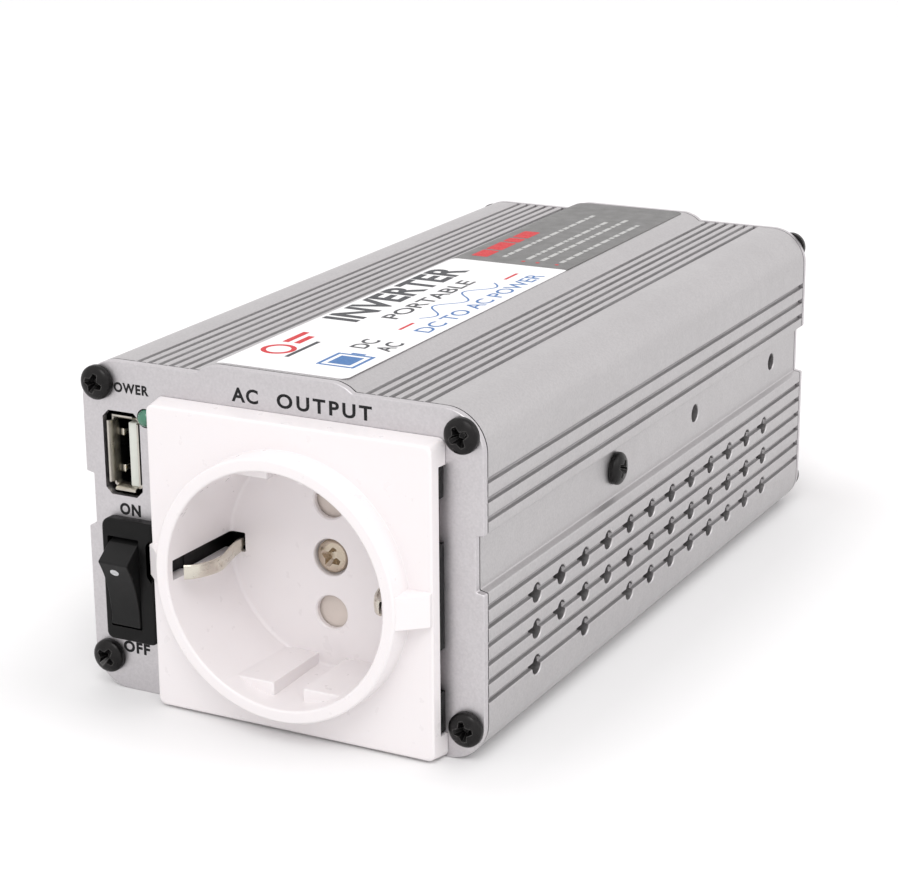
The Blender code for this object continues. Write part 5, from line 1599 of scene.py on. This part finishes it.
def build_label_print():
    shares = [i / 60 for i in range(61)]
    wave = [(-31.5 + 29.0 * s, 4.7 + 1.9 * math.sin(math.tau * 2.5 * s)) for s in shares]
    print_on_label(
        "label_print_dark",
        "ink_dark",
        label_words("INVERTER", -38.5, 4.5, -10.65, -3.75, 0.03),
        label_words("PORTABLE", -33.8, -3.2, -1.7, 1.5, 0.015),
        label_words("DC", -53.2, -47.4, 3.1, 6.2, 0.02),
        label_words("AC", -53.2, -47.4, 7.6, 10.7, 0.02),
        label_block(-63.0, -52.5, -3.4, -2.6),
    )
    print_on_label(
        "label_print_blue",
        "ink_blue",
        label_words("DC TO AC POWER", -39.5, 6.5, 7.75, 10.85, 0.008),
        label_line(wave, 0.35),
        label_block(-64.6, -57.0, 3.4, 4.0, 0.3),
        label_block(-64.6, -57.0, 9.8, 10.4, 0.3),
        label_block(-64.6, -64.0, 4.02, 9.78),
        label_block(-57.6, -57.0, 4.02, 9.78),
        label_block(-56.9, -56.2, 5.6, 8.2),
        label_block(-63.2, -58.4, 4.8, 9.0),
    )
    print_on_label(
        "label_print_red",
        "ink_red",
        label_block(-39.8, -34.7, 5.0, 5.6),
        label_block(0.7, 6.0, 5.0, 5.6),
        label_disc(-59.4, -6.6, 3.0, 2.1),
        label_block(-55.0, -48.0, -8.6, -7.4),
        label_block(-55.0, -50.0, -6.4, -5.2),
        *(
            label_block(start, end, -9.4, -6.0, 0.4)
            for start, end in ((16.0, 21.5), (22.3, 29.0), (29.8, 33.2), (34.0, 40.0))
        ),
        *(label_disc(15.6, across, 0.4) for across in (1.9, 4.9, 8.9)),
    )
    print_on_label("label_print_light", "ink_light", *dashes())


def build_panel_print():
    words = piece(
        "panel_lettering",
        joined(
            panel_words("AC", -7.9, -2.9, 54.35, 56.8, 0.028, 1.15),
            panel_words("OUTPUT", 0.6, 18.0, 54.35, 56.8, 0.028, 1.3),
            panel_words("POWER", -32.2, -24.1, 53.0, 54.75, 0.04, 1.15),
            panel_words("ON", -31.0, -26.8, 31.65, 33.75, 0.045, 1.15),
            panel_words("OFF", -31.7, -26.3, 6.75, 8.85, 0.045, 1.15),
        ),
        M["ink_panel"],
    )
    place(words, "satin_aluminium")


# ---- carried CAD nodes


def finish_cad_nodes():
    """Gives each CAD solid that still shows its procedural material."""
    groups = {
        "black_plastic": ["socket_base", "control_chip", *numbered("power_transistor", 4)],
        "shutter_grey": ["socket_shutter"],
        "brass": ["socket_contact_live", "socket_contact_neutral", *numbered("switch_terminal", 2)],
        "board_green": ["usb_board", "main_board"],
        "ferrite": ["transformer_core"],
        "winding_tape": ["transformer_winding"],
        "capacitor_sleeve": [*numbered("input_capacitor", 2), "bus_capacitor"],
        "copper_wire": ["output_choke"],
        "fuse_amber": ["blade_fuse"],
        "silicone_pad": ["insulating_pad"],
        "satin_aluminium": ["clamp_bar"],
        "cable_red": ["dc_cable_red"],
        "cable_black": ["dc_cable_black"],
        "cable_brown": ["ac_wire_live"],
        "cable_blue": ["ac_wire_neutral"],
    }
    for finish_name, nodes in groups.items():
        for name in nodes:
            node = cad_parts[name]
            for material_slot in node.material_slots:
                material_slot.link = "OBJECT"
                material_slot.material = M[finish_name]


# ---- stage


def build_floor():
    made = Shade("studio_floor")
    seen = made.add("ShaderNodeLightPath").outputs["Is Camera Ray"]
    here = made.add("ShaderNodeSeparateXYZ", {"Vector": made.here}).outputs
    # Painted shadow: to the camera the floor is darker (0.87) within 8 mm of the case footprint and
    # lightens to 0.99 by 30 mm; all other rays see an even 0.80 grey.
    squares = []
    for axis, half in (("X", HALF_WIDTH), ("Y", REAR)):
        outside = made.math("SUBTRACT", made.math("ABSOLUTE", here[axis]), half)
        squares.append(made.math("POWER", made.math("MAXIMUM", outside, 0.0), 2.0))
    away = made.math("SQRT", made.math("ADD", *squares))
    shadow_fade = made.add(
        "ShaderNodeMapRange", {"Value": away, "From Min": 8 * MM, "From Max": 30 * MM}
    ).outputs["Result"]
    paper_and_painted_shadow = made.mix(shadow_fade, grey(0.87), grey(0.99))
    made.set("Base Color", made.mix(seen, grey(0.80), paper_and_painted_shadow))
    made.set("Roughness", 0.6)
    made.set("Specular IOR Level", 0.25)
    bm = bmesh.new()
    bmesh.ops.create_grid(bm, x_segments=1, y_segments=1, size=6.0)
    floor = link_mesh("floor", bm, made.material)


def area_light(name, place_at, target, size, power):
    data = bpy.data.lights.new(name, "AREA")
    data.shape = "DISK"
    data.size = size
    data.energy = power
    light = bpy.data.objects.new(name, data)
    bpy.context.scene.collection.objects.link(light)
    light.location = place_at
    direction = Vector(target) - Vector(place_at)
    light.rotation_euler = direction.to_track_quat("-Z", "Y").to_euler()


def build_lights():
    world = bpy.data.worlds.new("studio")
    world.use_nodes = True
    background = world.node_tree.nodes["Background"]
    background.inputs["Color"].default_value = (1.0, 0.985, 0.99, 1)
    background.inputs["Strength"].default_value = 1.0
    bpy.context.scene.world = world
    area_light("key", (0.25, -0.55, 0.75), (0, -0.03, 0.03), 0.5, 2.2)
    area_light("fill", (0.7, 0.1, 0.45), (0, 0, 0.03), 0.5, 0.7)


def build_camera():
    data = bpy.data.cameras.new("camera")
    data.lens, data.sensor_width = 94.927, 36.0
    data.clip_start = 0.01
    camera = bpy.data.objects.new("camera", data)
    bpy.context.scene.collection.objects.link(camera)
    place_at = (0.194020, -0.379227, 0.161101)
    azimuth, elevation, roll = 0.486981, 0.302978, -0.0084046
    camera.matrix_world = (
        Matrix.Translation(place_at)
        @ Matrix.Rotation(azimuth, 4, "Z")
        @ Matrix.Rotation(math.pi / 2 - elevation, 4, "X")
        @ Matrix.Rotation(roll, 4, "Z")
    )
    bpy.context.scene.camera = camera
    bpy.context.scene.view_settings.view_transform = "Standard"


build_case()
build_front_panel()
build_rear_panel()
build_screws()
build_socket_cover()
build_earth_clips()
build_switch()
build_usb_shell()
build_usb_tongue()
build_led()
build_fan_frame()
build_fan_rotor()
build_terminals()
build_label()
build_label_print()
build_panel_print()
finish_cad_nodes()
build_floor()
build_lights()
build_camera()
